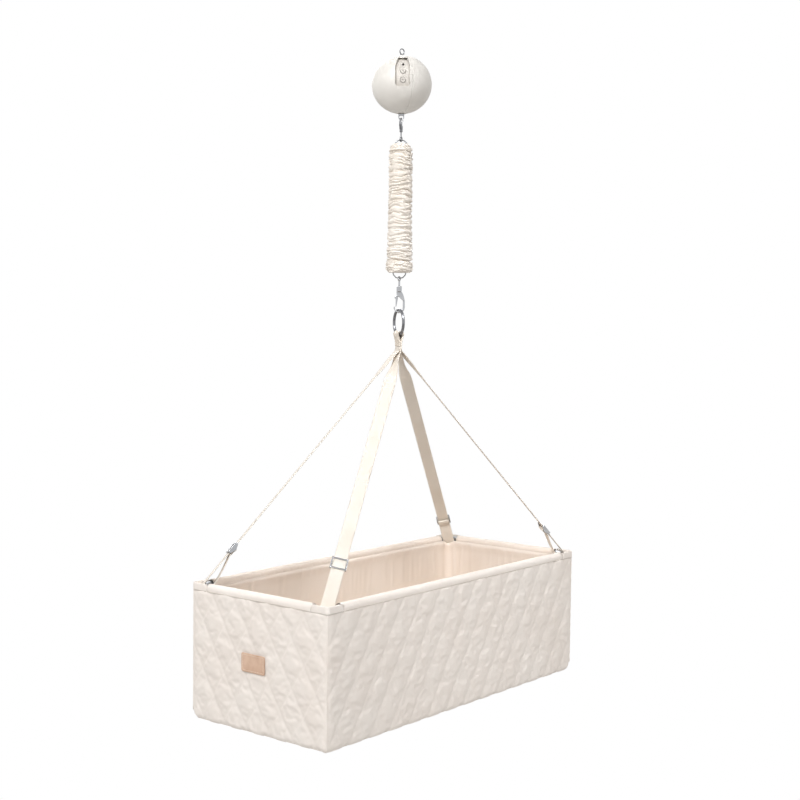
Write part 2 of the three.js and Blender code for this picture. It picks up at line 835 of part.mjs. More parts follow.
function hookPlateShape(hook) {
  const { bowRadius, spineHeight, nutRadius, wire } = hook;
  const pivot = gatePivot(hook);
  return new THREE.Shape([
    new THREE.Vector2(-nutRadius, spineHeight + wire / 4),
    new THREE.Vector2(pivot.x - wire / 2, pivot.z),
    new THREE.Vector2(pivot.x - wire / 4, pivot.z - wire / 2),
    new THREE.Vector2(pivot.x + wire / 2, pivot.z - wire / 2),
    new THREE.Vector2(bowRadius * spineShares.shoulder, spineHeight * spineShares.shoulder),
    new THREE.Vector2(bowRadius, spineHeight * spineShares.elbow),
    new THREE.Vector2(bowRadius, spineHeight * spineShares.shoulder),
    new THREE.Vector2(nutRadius, spineHeight + wire / 4),
  ]);
}

function centredPrism(shape, depth) {
  return prism(shape, depth).translate(0, 0, -depth / 2).rotateX(Math.PI / 2);
}

function swivelNut(hook) {
  const { nutRadius, nutHeight, spineHeight, shankRadius } = hook;
  const bevel = nutRadius / 4;
  const profile = [
    [0, 0], [nutRadius - bevel, 0], [nutRadius, bevel], [nutRadius, nutHeight - bevel],
    [nutRadius - bevel, nutHeight], [0, nutHeight],
  ];
  const headHeight = swivelHeadHeight + 2 * seatGap;
  const bore = rod(shankRadius + seatGap, nutHeight, hookSides).translate(0, 0, nutHeight / 2);
  const room = rod(shankRadius * swivelHeadShare + seatGap, headHeight, hookSides)
    .translate(0, 0, nutHeight / 2 - headHeight / 2);
  return cut(revolve(profile, hookSides), bore, room).translate(0, 0, spineHeight);
}

function hookBody(hook) {
  const pivot = gatePivot(hook);
  const spine = sweep(spinePath(hook), sectionCircle(hook.wire / 2, hookSides), axisY);
  const plate = centredPrism(hookPlateShape(hook), hook.plate);
  const slotWidth = hook.gate + 2 * gateClearance;
  const slotHeight = hook.spineHeight + hook.bowRadius;
  const slot = block(hook.bowRadius * 2, slotWidth, slotHeight, pivot.x - hook.bowRadius + hook.wire / 2,
    0, hook.spineHeight - hook.wire / 4 - slotHeight / 2);
  const rivet = rodAlongY(hook.rivet, hook.plate + 2 * gateClearance, hookSides,
    pivot.x, -hook.plate / 2 - gateClearance, pivot.z);
  return join(cut(join(spine, plate), slot), rivet, swivelNut(hook));
}

function gateShape(hook) {
  const pivot = gatePivot(hook);
  const nose = radians(noseAngle);
  const half = hook.wire * spineShares.shoulder * gateShares.pivotUp;
  const tipX = hook.bowRadius * Math.cos(nose) + hook.wire / 2 + gateClearance;
  const tipZ = hook.bowRadius * Math.sin(nose) - half / 4;
  const leverX = -hook.bowRadius * gateShares.lever;
  const leverZ = hook.spineHeight * gateShares.leverUp;
  const shape = new THREE.Shape([
    new THREE.Vector2(pivot.x - half, pivot.z + half / 2),
    new THREE.Vector2(leverX, leverZ + half),
    new THREE.Vector2(leverX, leverZ),
    new THREE.Vector2(tipX, leverZ - half),
    new THREE.Vector2(tipX, tipZ),
    new THREE.Vector2(tipX + half * gateShares.lever, tipZ),
    new THREE.Vector2(pivot.x + half, pivot.z),
    new THREE.Vector2(pivot.x + half / 2, pivot.z + half),
    new THREE.Vector2(pivot.x - half / 2, pivot.z + half),
  ]);
  const hole = new THREE.Path();
  hole.absarc(pivot.x, pivot.z, hook.rivet + gateClearance, 0, fullTurn);
  shape.holes.push(hole);
  return shape;
}

function swivelEye(hook) {
  const { nutHeight, spineHeight, shankRadius, shankReach } = hook;
  const nutEnd = spineHeight + nutHeight;
  const headLow = spineHeight + nutHeight / 2 - swivelHeadHeight / 2;
  const centre = nutEnd + shankReach + hook.eyeRadius + hook.eyeBar / 2;
  const ring = ringGeometry(hook.eyeRadius, hook.eyeBar, hookSides, coreSides)
    .rotateZ(radians(hook.eyeTurn))
    .translate(0, 0, centre);
  const head = rod(shankRadius * swivelHeadShare, swivelHeadHeight, hookSides).translate(0, 0, headLow);
  const shank = rod(shankRadius, centre - hook.eyeRadius - headLow, hookSides).translate(0, 0, headLow);
  return join(ring, head, shank);
}

function makeHook(prefix, hook, height, turn, upsideDown) {
  const frame = new THREE.Group();
  frame.position.z = height;
  frame.rotation.set(0, upsideDown ? Math.PI : 0, radians(turn), 'ZYX');
  view.add(frame);
  addPiece(frame, `${prefix}_hook_body`, hookBody(hook), 'chrome');
  addPiece(frame, `${prefix}_hook_gate`, centredPrism(gateShape(hook), hook.gate), 'chrome');
  addPiece(frame, `${prefix}_hook_eye`, swivelEye(hook), 'chrome');
}

// Spring: a wound coil between two end pieces, each a closing turn with a centre loop

function coilPoints() {
  const steps = springTurns * springStepsPerTurn;
  const points = [];
  for (let i = 0; i <= steps; i += 1) {
    const angle = fullTurn * i / springStepsPerTurn;
    points.push(new THREE.Vector3(
      springRadius * Math.cos(angle),
      springRadius * Math.sin(angle),
      coilTop - springLength * i / steps,
    ));
  }
  return points;
}

function leastTurnGap(points) {
  let least = Infinity;
  const apart = springStepsPerTurn / 2;
  points.forEach((point, i) => {
    for (let j = i + apart; j < Math.min(points.length, i + 2 * springStepsPerTurn); j += 1) {
      least = Math.min(least, point.distanceTo(points[j]) - springWire);
    }
  });
  return least;
}

function makeCoil() {
  const points = coilPoints();
  console.log(`least gap between the spring's turns: ${leastTurnGap(points).toFixed(2)} mm`);
  const section = sectionCircle(springWire / 2, springSides);
  const rings = points.map((point) => {
    const out = new THREE.Vector3(point.x, point.y, 0).normalize();
    return section.map(([a, b]) => point.clone().addScaledVector(out, a).addScaledVector(axisZ, b));
  });
  addPiece(view, 'spring_coil', loft(rings), 'steel');
}

function makeSpringEnd(name, centre, side) {
  const closing = new THREE.TorusGeometry(springRadius, springWire / 2, loopSides, loopSteps)
    .translate(0, 0, centre - side * springRadius);
  const loop = ringGeometry(springRadius, springWire, loopSides, loopSteps).translate(0, 0, centre);
  const crossing = rod(springWire / 2, 2 * springRadius, loopSides)
    .rotateY(Math.PI / 2)
    .translate(-springRadius, 0, centre - side * springRadius);
  addPiece(view, name, join(closing, crossing, loop), 'steel');
}

// Gathered sleeve: the outer wall rises and falls with every pucker, the bore is smooth

function sleeveRadius(share) {
  const top = Math.max(0, 1 - share * sleeveLength / sleeveCuff);
  return THREE.MathUtils.lerp(sleeveDiameter, sleeveBottomDiameter, smooth(share * 2 - 1)) / 2
    - sleeveCuffTaper * top * top;
}

function puckerWave(row, angle) {
  const side = row % 2 === 0 ? -1 : 0;
  return sleevePuckerDepth * (side + Math.sin(2 * angle + row) * Math.cos(angle - row * row) / 4);
}

function makeSleeve() {
  const bore = springRadius + springWire / 2 + seatGap;
  const rows = 2 * sleevePuckers;
  const ringAt = (radiusOf, height) => {
    const ring = [];
    for (let i = 0; i < sleeveSides; i += 1) {
      const angle = fullTurn * i / sleeveSides;
      const radius = radiusOf(angle);
      ring.push(new THREE.Vector3(radius * Math.cos(angle), radius * Math.sin(angle), height));
    }
    return ring;
  };
  const rings = [];
  for (let row = 0; row <= rows; row += 1) {
    const share = row / rows;
    const lift = sleeveTop - sleeveLength * share;
    const ending = row === 0 || row === rows;
    rings.push(ringAt((angle) => sleeveRadius(share) + (ending ? 0 : puckerWave(row, angle)), lift));
  }
  const facetBore = bore / Math.cos(Math.PI / sleeveSides);
  rings.push(ringAt(() => facetBore, sleeveTop - sleeveLength), ringAt(() => facetBore, sleeveTop));
  addPiece(view, 'spring_sleeve', loft(rings, true), 'sleeve');
}

// Carrying ring, and the webbing sewn round it into the neck of the four straps

const ringFrame = new THREE.Group();
ringFrame.rotation.z = radians(strapTurn);
cradle.add(ringFrame);

function webbingShape() {
  const bore = ringWire / 2 + webbingClearance;
  const outer = bore + webbingLayer;
  const middle = seatGap - webbingClearance;
  const neck = 2 * (strapThickness + strapGap);
  const shape = new THREE.Shape();
  shape.moveTo(neck, -webbingReach);
  shape.lineTo(neck, -webbingCrotch);
  shape.absarc(0, middle, outer, 0, Math.PI);
  shape.lineTo(-neck, -webbingCrotch);
  shape.lineTo(-neck, -webbingReach);
  const eye = new THREE.Path();
  eye.moveTo(0, -webbingCrotch);
  eye.lineTo(bore, middle);
  eye.absarc(0, middle, bore, 0, Math.PI);
  shape.holes.push(eye);
  return shape;
}

function makeRingWebbing() {
  const geometry = new THREE.ExtrudeGeometry(webbingShape(), {
    depth: strapWidth, steps: webbingWidthSteps, bevelEnabled: false, curveSegments: webbingArcSteps,
  });
  const position = geometry.attributes.position;
  const bend = ringRadius - webbingBendTrim;
  for (let i = 0; i < position.count; i += 1) {
    const across = position.getZ(i) - strapWidth / 2;
    const rise = bend - Math.sqrt(bend * bend - across * across);
    const share = smooth(1 + position.getY(i) / webbingCrotch);
    position.setXYZ(i, across, -position.getX(i), ringLow + position.getY(i) + rise * share);
  }
  addPiece(ringFrame, 'ring_webbing', common(geometry), 'webbing');
}

function makeCarryingRing() {
  const ring = ringGeometry(ringRadius, ringWire, ringSides, ringSteps).translate(0, 0, ringCentre);
  addPiece(ringFrame, 'carrying_ring', common(ring), 'steel');
}

makeHook('upper', upperHook, upperBowCentre, upperHookTurn, true);
makeSpringEnd('spring_top_loop', topLoopCentre, 1);
makeCoil();
makeSpringEnd('spring_bottom_loop', bottomLoopCentre, -1);
makeSleeve();
makeHook('lower', lowerHook, lowerBowCentre, 0, false);
makeCarryingRing();
makeRingWebbing();

// Straps: each leg leaves the neck, turns to face its corner, wraps the elbow and comes back up

const outerLayer = 1.5;
const corners = {
  left: { x: -1, y: 1, layer: 1.5 },
  front: { x: -1, y: -1, layer: 0.5 },
  back: { x: 1, y: 1, layer: -0.5 },
  right: { x: 1, y: -1, layer: -1.5 },
};
const tubeInset = hemSpan / 2;
const strapPitch = strapThickness + strapGap;
const neckWidthDirection = new THREE.Vector3(1, 0, 0).applyAxisAngle(axisZ, radians(strapTurn));
const neckStackDirection = new THREE.Vector3(0, 1, 0).applyAxisAngle(axisZ, radians(strapTurn));

function cornerFrame(corner) {
  const elbow = new THREE.Vector3(
    corner.x * (boxLength / 2 - tubeInset - elbowRadius * (1 - Math.SQRT1_2)),
    corner.y * (boxWidth / 2 - tubeInset - elbowRadius * (1 - Math.SQRT1_2)),
    rimTop - tubeInset,
  );
  const out = new THREE.Vector3(corner.x, corner.y, 0).normalize();
  const across = new THREE.Vector3(-corner.y, corner.x, 0).normalize();
  if (across.dot(neckWidthDirection) < 0) across.negate();
  return { elbow, out, across };
}

function wrapPoint(frame, angle) {
  const share = smooth((radians(-wrapStart / 2) - angle) / radians(-wrapStart / 2 - wrapEnd));
  const outer = tubeRadius + wrapClearance + strapThickness / 2;
  const radius = THREE.MathUtils.lerp(outer, wrapInnerOffset + strapThickness, share);
  return frame.elbow.clone()
    .addScaledVector(frame.out, radius * Math.cos(angle))
    .addScaledVector(axisZ, radius * Math.sin(angle));
}

function legFrame(corner) {
  const frame = cornerFrame(corner);
  const apex = neckStackDirection.clone().multiplyScalar(corner.layer * strapPitch);
  apex.z = neckTop - neckLength - innerApexDrop * (outerLayer - Math.abs(corner.layer));
  const foot = wrapPoint(frame, radians(wrapStart));
  const up = apex.clone().sub(foot).normalize();
  const across = frame.across.clone().addScaledVector(up, -frame.across.dot(up)).normalize();
  const outward = new THREE.Vector3().crossVectors(up, across);
  if (outward.dot(frame.out) + outward.z < 0) {
    outward.negate();
  }
  return { ...frame, apex, foot, up, legAcross: across, outward };
}

// One cross-section of webbing: centre, travel direction and width direction
function strapRing(centre, travel, across) {
  const width = across.clone().addScaledVector(travel, -across.dot(travel)).normalize();
  const thick = new THREE.Vector3().crossVectors(travel, width).normalize();
  const half = strapWidth / 2;
  const depth = strapThickness / 2;
  return [[half, depth], [-half, depth], [-half, -depth], [half, -depth]]
    .map(([a, b]) => centre.clone().addScaledVector(width, a).addScaledVector(thick, b));
}

function mixedDirection(from, to, share) {
  return from.clone().lerp(to, share).normalize();
}

function neckRings(leg) {
  const down = axisZ.clone().negate();
  const top = leg.apex.clone();
  top.z = neckTop - seatGap;
  return [strapRing(top, down, neckWidthDirection), strapRing(leg.apex, down, neckWidthDirection)];
}

function legRings(leg) {
  const down = leg.up.clone().negate();
  const length = leg.apex.distanceTo(leg.foot);
  const rings = [];
  for (let i = 0; i <= legSteps; i += 1) {
    const share = i / legSteps;
    const distance = bendLength + (twistStart + twistLength) * share;
    const turned = smooth((distance - twistStart) / twistLength);
    const across = neckWidthDirection.clone().lerp(leg.legAcross, turned);
    rings.push(strapRing(leg.apex.clone().addScaledVector(down, distance), down, across));
  }
  const last = leg.apex.clone().addScaledVector(down, length - cornerTurnLength);
  rings.push(strapRing(last, down, leg.legAcross));
  return rings;
}

function wrapRings(leg) {
  const rings = [];
  for (let i = 0; i <= wrapSteps; i += 1) {
    const angle = radians(THREE.MathUtils.lerp(wrapStart, wrapEnd, i / wrapSteps));
    const travel = leg.out.clone().multiplyScalar(Math.sin(angle)).addScaledVector(axisZ, -Math.cos(angle));
    rings.push(strapRing(wrapPoint(leg, angle), travel, leg.across));
  }
  return rings;
}

const barDrop = strapThickness / 2 + loopClearance + strapThickness + loopClearance + sliderBarRadius;

function returnEnd(leg, distance) {
  return leg.foot.clone()
    .addScaledVector(leg.up, distance - strapEndTail - sliderBarRadius - strapThickness - seatGap)
    .addScaledVector(leg.outward, -barDrop);
}

function makeStrap(name, corner) {
  const leg = legFrame(corner);
  const wrapped = wrapPoint(leg, radians(wrapEnd));
  const end = returnEnd(leg, sliderDistances[name]);
  const travel = end.clone().sub(wrapped).normalize();
  const middle = wrapped.clone().lerp(end, midwayShare);
  const rings = [
    ...neckRings(leg),
    ...legRings(leg),
    ...wrapRings(leg),
    strapRing(middle, travel, mixedDirection(leg.across, leg.legAcross, midwayShare)),
    strapRing(end, leg.up, leg.legAcross),
  ];
  addPiece(cradle, `strap_${name}`, loft(rings), 'webbing');
}

// Sliders, in a frame with X across the strap, Y outward from the box and Z up the leg

function sliderFrame(name, corner) {
  const leg = legFrame(corner);
  const x = new THREE.Vector3().crossVectors(leg.outward, leg.up).normalize();
  const frame = new THREE.Group();
  frame.quaternion.setFromRotationMatrix(new THREE.Matrix4().makeBasis(x, leg.outward, leg.up));
  frame.position.copy(leg.foot).addScaledVector(leg.up, sliderDistances[name]);
  cradle.add(frame);
  return frame;
}

function sliderGeometry() {
  const outerBar = strapThickness / 2 + loopClearance + sliderBarRadius;
  const barReach = sliderLength / 2 - sliderBarInset;
  const railInner = strapWidth / 2 + sliderSideGap;
  const span = 2 * railInner + sliderRail;
  const bar = (y, z) => rod(sliderBarRadius, span, sliderBarSides)
    .rotateY(Math.PI / 2)
    .translate(-span / 2, y, z);
  const high = outerBar + sliderBarRadius;
  const low = -barDrop - sliderBarRadius;
  const half = sliderLength / 2;
  const outline = [
    [-half, high], [half, high], [half, -sliderBarRadius], [sliderBarInset, low], [-sliderBarInset, low],
    [-half, -sliderBarRadius],
  ];
  const railShape = new THREE.Shape(outline.map(([z, y]) => new THREE.Vector2(y, z)));
  const turned = new THREE.Matrix4().makeBasis(axisY, axisZ, axisX);
  const rail = () => prism(railShape, sliderRail).applyMatrix4(turned);
  return join(
    rail().translate(railInner, 0, 0),
    rail().translate(-railInner - sliderRail, 0, 0),
    bar(outerBar, barReach),
    bar(outerBar, -barReach),
    bar(-barDrop, 0),
  );
}

function strapEndGeometry() {
  const inner = sliderBarRadius + loopClearance;
  const outer = inner + strapThickness;
  const tail = -strapEndTail;
  const shape = new THREE.Shape();
  shape.moveTo(-strapThickness, tail);
  shape.lineTo(strapThickness, tail);
  shape.lineTo(strapThickness, tail + 2 * outer);
  shape.absarc(0, 0, outer, 0, Math.PI);
  shape.lineTo(-strapThickness, tail + 2 * outer);
  const eye = new THREE.Path();
  eye.moveTo(0, tail + 2 * outer + strapThickness);
  eye.lineTo(inner, 0);
  eye.absarc(0, 0, inner, 0, Math.PI);
  shape.holes.push(eye);
  return common(prism(shape, strapWidth, elbowSteps)
    .translate(0, 0, -strapWidth / 2)
    .applyMatrix4(new THREE.Matrix4().makeBasis(axisY, axisZ, axisX))
    .translate(0, -barDrop, 0));
}

// Box: quilted panels mitred at the corners, hemmed over a tube frame

function ringPrism(outset, thickness, radius, bottom, top) {
  const outer = prism(roundedRectangle(boxLength - 2 * outset, boxWidth - 2 * outset, radius), top - bottom)
    .translate(0, 0, bottom);
  const inset = 2 * (outset + thickness);
  const innerRadius = Math.max(radius - thickness, seatGap);
  const innerShape = roundedRectangle(boxLength - inset, boxWidth - inset, innerRadius);
  const inner = prism(innerShape, top - bottom + 2 * overrun).translate(0, 0, bottom - overrun);
  return cut(outer, inner);
}

// Everything on one wall's side of the two mitres, the wall facing -Y
function mitreWedge(length, width) {
  const gap = seatGap / Math.SQRT2;
  const near = length / 2 + overrun - gap;
  const far = length / 2 - hemSpan - gap;
  const shape = new THREE.Shape([
    new THREE.Vector2(-near, -width / 2 - overrun),
    new THREE.Vector2(near, -width / 2 - overrun),
    new THREE.Vector2(far, -width / 2 + hemSpan),
    new THREE.Vector2(-far, -width / 2 + hemSpan),
  ]);
  return prism(shape, 2 * boxHeight).translate(0, 0, boxBottom - overrun);
}

function quiltLattice(length, width, level) {
  const half = { x: diamondWidth / 2, z: diamondHeight / 2 };
  const middle = boxBottom + level;
  const at = (i, j, depth) => new THREE.Vector3(i * half.x, -width / 2 + depth, middle + j * half.z);
  const columns = Math.ceil(length / diamondWidth) + 1;
  const low = -Math.ceil(level / half.z) - 1;
  const high = Math.ceil((boxHeight - level) / half.z) + 1;
  const triangles = [];
  for (let j = low; j <= high; j += 1) {
    for (let i = -columns; i <= columns; i += 1) {
      if ((i + j) % 2 === 0) continue;
      const centre = at(i, j, 0);
      const seams = [[1, 0], [0, 1], [-1, 0], [0, -1]].map(([di, dj]) => at(i + di, j + dj, quiltPuff));
      const puffed = seams.map((seam) => {
        const point = seam.clone().lerp(centre, puffRingShare);
        point.y = -width / 2 + quiltPuff * (1 - puffRingHeightShare);
        return point;
      });
      seams.forEach((seam, k) => {
        const n = (k + 1) % seams.length;
        triangles.push([seam, seams[n], puffed[n]]);
        triangles.push([seam, puffed[n], puffed[k]]);
        triangles.push([puffed[k], puffed[n], centre]);
      });
    }
  }
  return triangles;
}

// Closes a sheet of triangles with a flat back and walls along its open edges
function backed(triangles, back) {
  const name = (point) => point.toArray().map((value) => Math.round(value / seatGap)).join();
  const edges = new Map();
  const behind = (point) => new THREE.Vector3(point.x, back, point.z);
  triangles.forEach((triangle) => triangle.forEach((from, k) => {
    const to = triangle[(k + 1) % triangle.length];
    edges.set(`${name(from)} ${name(to)}`, [from, to]);
  }));
  const faces = triangles.flatMap(([a, b, c]) => [[a, b, c], [behind(a), behind(c), behind(b)]]);
  edges.forEach(([from, to]) => {
    if (edges.has(`${name(to)} ${name(from)}`)) return;
    faces.push([to, from, behind(from)], [to, behind(from), behind(to)]);
  });
  const geometry = new THREE.BufferGeometry();
  geometry.setAttribute('position', new THREE.Float32BufferAttribute(
    faces.flat().flatMap((point) => point.toArray()), 3));
  return geometry;
}

const hemBottom = rimTop - hemHeight;
const panelWall = quiltPuff + quiltBacking;
const walls = {
  front: { length: boxLength, width: boxWidth, level: longQuiltLevel, turn: 0 },
  back: { length: boxLength, width: boxWidth, level: longQuiltLevel, turn: Math.PI },
  left: { length: boxWidth, width: boxLength, level: endQuiltLevel, turn: -Math.PI / 2 },
  right: { length: boxWidth, width: boxLength, level: endQuiltLevel, turn: Math.PI / 2 },
};

function makePanel(name, { length, width, level, turn }) {
  const top = hemBottom - seatGap;
  const wedge = mitreWedge(length, width).rotateZ(turn);
  const slab = backed(quiltLattice(length, width, level), -width / 2 + panelWall + overrun).rotateZ(turn);
  const body = common(slab, ringPrism(0, panelWall, cornerRadius, boxBottom, top), wedge);
  const hemLength = length - 2 * hemCornerGap + 2 * seatGap;
  const hemRoom = block(hemLength, 2 * hemSpan, boxHeight, 0, -width / 2, rimTop)
    .rotateZ(turn);
  const ears = cut(
    common(ringPrism(0, earThickness, cornerRadius, top - earThickness, rimTop - seatGap), wedge),
    hemRoom,
  );
  addPiece(cradle, `panel_${name}`, join(body, ears), 'quilt');
}

function makeHem(name, { length, width, turn }) {
  const outer = hemSpan / 2;
  const inner = tubeRadius + seatGap;
  const leg = hemBottom - (rimTop - tubeInset);
  const shape = new THREE.Shape();
  shape.moveTo(outer, leg);
  shape.lineTo(outer, 0);
  shape.absarc(0, 0, outer, 0, Math.PI);
  shape.lineTo(-outer, leg);
  shape.lineTo(-inner, leg);
  shape.absarc(0, 0, inner, Math.PI, 0, true);
  shape.lineTo(inner, leg);
  const run = length - 2 * hemCornerGap;
  const hem = prism(shape, run, hemArcSteps)
    .translate(0, 0, -run / 2)
    .applyMatrix4(new THREE.Matrix4().makeBasis(axisY, axisZ, axisX))
    .translate(0, tubeInset - width / 2, rimTop - tubeInset)
    .rotateZ(turn);
  addPiece(cradle, `hem_${name}`, common(hem), 'webbing');
}

function makeFrameTube(name, side) {
  const run = boxLength - 2 * (tubeInset + elbowRadius + bowReach) - 2 * seatGap;
  const profile = [
    [spigotRadius + seatGap, 0], [tubeRadius, 0], [tubeRadius, run], [spigotRadius + seatGap, run],
    [spigotRadius + seatGap, 0],
  ];
  const tube = revolve(profile, tubeSides)
    .rotateY(Math.PI / 2)
    .translate(-run / 2, side * (boxWidth / 2 - tubeInset), rimTop - tubeInset);
  addPiece(cradle, `frame_tube_${name}`, common(tube), 'steel');
}

function bowPath(end, spigot) {
  const lineX = boxLength / 2 - tubeInset;
  const lineY = boxWidth / 2 - tubeInset;
  const half = [];
  for (let i = 0; i <= elbowSteps; i += 1) {
    const angle = Math.PI / 2 * i / elbowSteps;
    half.push([
      lineX - elbowRadius + elbowRadius * Math.cos(angle),
      lineY - elbowRadius + elbowRadius * Math.sin(angle),
    ]);
  }
  half.push([lineX - elbowRadius - bowReach - spigot, lineY]);
  const near = half.map(([x, y]) => [x, -y]).reverse();
  return [...near, ...half].map(([x, y]) => new THREE.Vector3(end * x, y, rimTop - tubeInset));
}

function makeFrameBow(name, end) {
  const bow = sweep(bowPath(end, 0), sectionCircle(tubeRadius, tubeSides), axisZ);
  const spigots = [-1, 1].map((side) => rod(spigotRadius, 2 * spigotLength, hookSides)
    .rotateY(Math.PI / 2)
    .translate(-spigotLength, 0, 0)
    .translate(
      end * (boxLength / 2 - tubeInset - elbowRadius - bowReach),
      side * (boxWidth / 2 - tubeInset),
      rimTop - tubeInset,
    ));
  addPiece(cradle, `frame_bow_${name}`, join(bow, ...spigots), 'steel');
}

function makeBase() {
  const wall = panelWall + seatGap;
  const panelBottom = boxBottom + basePanelLift;
  const boardBottom = panelBottom + basePanelThickness + seatGap;
  const outline = roundedRectangle(boxLength - 2 * wall, boxWidth - 2 * wall, cornerRadius);
  const plate = (height, bottom) => prism(outline, height).translate(0, 0, bottom);
  addPiece(cradle, 'base_panel', common(plate(basePanelThickness, panelBottom)), 'quilt');
  addPiece(cradle, 'base_board', common(plate(boardThickness, boardBottom)), 'board');
  return boardBottom + boardThickness;
}

const liningOutset = tubeInset + tubeRadius + 2 * seatGap;

function makeLining(boardTop) {
  const top = hemBottom - seatGap;
  const wall = ringPrism(liningOutset, liningWall, liningRadius, boardTop + seatGap, top);
  const notches = Object.values(corners).map(({ x, y }) => block(
    2 * (hemCornerGap + liningOutset), 2 * (hemCornerGap + liningOutset), 2 * liningCornerDrop,
    x * boxLength / 2, y * boxWidth / 2, top));
  addPiece(cradle, 'lining', cut(wall, ...notches), 'lining');
}

function mattressRing(share, length, width, bottom) {
  const drawn = 1 - share * share;
  const half = width / 2 - mattressPull * drawn;
  const x = share * length / 2;
  const shoulder = mattressHeight - mattressEdgeRadius;
  const ring = [[half - mattressEdgeRadius, 0], [half, mattressEdgeRadius], [half, shoulder]];
  for (let i = 0; i <= mattressWidthSteps; i += 1) {
    const across = 1 - 2 * i / mattressWidthSteps;
    const y = across * (half - mattressEdgeRadius);
    ring.push([y, mattressHeight + mattressCrown * (1 - across * across) * drawn]);
  }
  ring.push([-half, shoulder], [-half, mattressEdgeRadius], [mattressEdgeRadius - half, 0]);
  return ring.map(([y, z]) => new THREE.Vector3(x, y, bottom + z));
}

function makeMattress(boardTop) {
  const edge = 2 * (liningOutset + liningWall + mattressClearance);
  const rings = [];
  for (let i = 0; i <= mattressLengthSteps; i += 1) {
    const share = 2 * i / mattressLengthSteps - 1;
    rings.push(mattressRing(share, boxLength - edge, boxWidth - edge, boardTop + seatGap));
  }
  addPiece(cradle, 'mattress', common(loft(rings)), 'lining');
}

function makeLabel() {
  const patch = prism(roundedRectangle(labelHeight, labelWidth, labelCornerRadius), labelThickness)
    .rotateY(-Math.PI / 2)
    .translate(-boxLength / 2 - seatGap, labelOffset, boxBottom + labelLift);
  addPiece(cradle, 'label_patch', common(patch), 'leather');
}

Object.entries(corners).forEach(([name, corner]) => {
  makeStrap(name, corner);
  const frame = sliderFrame(name, corner);
  addPiece(frame, `slider_${name}`, sliderGeometry(), 'chrome');
  addPiece(frame, `strap_end_${name}`, strapEndGeometry(), 'webbing');
});
Object.entries(walls).forEach(([name, wall]) => {
  makePanel(name, wall);
  makeHem(name, wall);
});
makeFrameTube('front', -1);
makeFrameTube('back', 1);
makeFrameBow('left', -1);
makeFrameBow('right', 1);
const boardTop = makeBase();
makeLining(boardTop);
makeMattress(boardTop);
makeLabel();

export default cradle;
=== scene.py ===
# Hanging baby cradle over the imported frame; the scene is in metres, the pieces' values are in millimetres.
from math import atan2, cos, exp, pi, radians, sin, sqrt
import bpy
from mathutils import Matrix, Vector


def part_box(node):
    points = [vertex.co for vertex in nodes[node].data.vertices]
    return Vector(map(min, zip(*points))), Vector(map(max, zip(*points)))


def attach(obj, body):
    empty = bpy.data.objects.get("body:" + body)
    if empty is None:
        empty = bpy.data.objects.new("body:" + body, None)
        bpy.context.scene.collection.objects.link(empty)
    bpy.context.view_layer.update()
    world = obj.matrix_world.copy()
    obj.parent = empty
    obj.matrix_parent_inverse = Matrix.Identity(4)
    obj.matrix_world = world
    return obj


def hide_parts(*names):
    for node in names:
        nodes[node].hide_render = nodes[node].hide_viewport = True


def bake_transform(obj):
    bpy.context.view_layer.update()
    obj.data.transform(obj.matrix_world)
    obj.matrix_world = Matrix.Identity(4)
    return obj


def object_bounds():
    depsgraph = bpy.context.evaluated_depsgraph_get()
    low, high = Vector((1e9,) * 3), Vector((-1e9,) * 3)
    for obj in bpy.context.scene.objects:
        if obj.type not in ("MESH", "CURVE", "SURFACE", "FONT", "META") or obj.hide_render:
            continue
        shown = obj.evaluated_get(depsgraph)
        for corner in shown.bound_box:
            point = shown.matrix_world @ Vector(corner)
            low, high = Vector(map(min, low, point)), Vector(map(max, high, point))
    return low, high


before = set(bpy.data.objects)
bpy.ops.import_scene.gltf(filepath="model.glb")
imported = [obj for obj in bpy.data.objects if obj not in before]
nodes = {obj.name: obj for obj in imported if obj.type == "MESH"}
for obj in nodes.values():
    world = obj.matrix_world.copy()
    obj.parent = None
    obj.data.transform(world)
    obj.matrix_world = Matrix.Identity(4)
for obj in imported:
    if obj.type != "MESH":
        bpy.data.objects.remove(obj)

from types import SimpleNamespace

import bmesh
import bpy
from mathutils import Matrix, Vector
from mathutils.noise import noise

scene = bpy.context.scene
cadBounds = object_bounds()
mm = 0.001
up = Vector((0, 0, 1))
print("frame loaded:", len(nodes), "nodes")


# small tools

def hexColour(code):
    def linear(value):
        return value / 12.92 if value <= 0.04045 else ((value + 0.055) / 1.055) ** 2.4
    return tuple(linear(int(code[i:i + 2], 16) / 255) for i in (0, 2, 4)) + (1.0,)


def smoothStep(value):
    t = max(0.0, min(1.0, value))
    return t * t * (3 - 2 * t)


def mix(a, b, share):
    return a + (b - a) * share


# 1 at a place, falling off to nothing round it
def swell(distance, width):
    return exp(-(distance / width) ** 2)


def circle(count):
    return [2 * pi * i / count for i in range(count)]


def polar(radius, angle, height=0.0):
    return Vector((radius * cos(angle), radius * sin(angle), height))


def zTurn(degrees):
    return Matrix.Rotation(radians(degrees), 4, "Z")


def meshObject(name, points, faces, uvs=None):
    mesh = bpy.data.meshes.new(name)
    mesh.from_pydata([tuple(p) for p in points], [], faces)
    if uvs:
        layer = mesh.uv_layers.new(name="weave")
        for loop in mesh.loops:
            layer.data[loop.index].uv = uvs[loop.vertex_index]
    mesh.update()
    mesh.polygons.foreach_set("use_smooth", [True] * len(mesh.polygons))
    return linked(name, mesh)


def linked(name, data):
    obj = bpy.data.objects.new(name, data)
    scene.collection.objects.link(obj)
    return obj


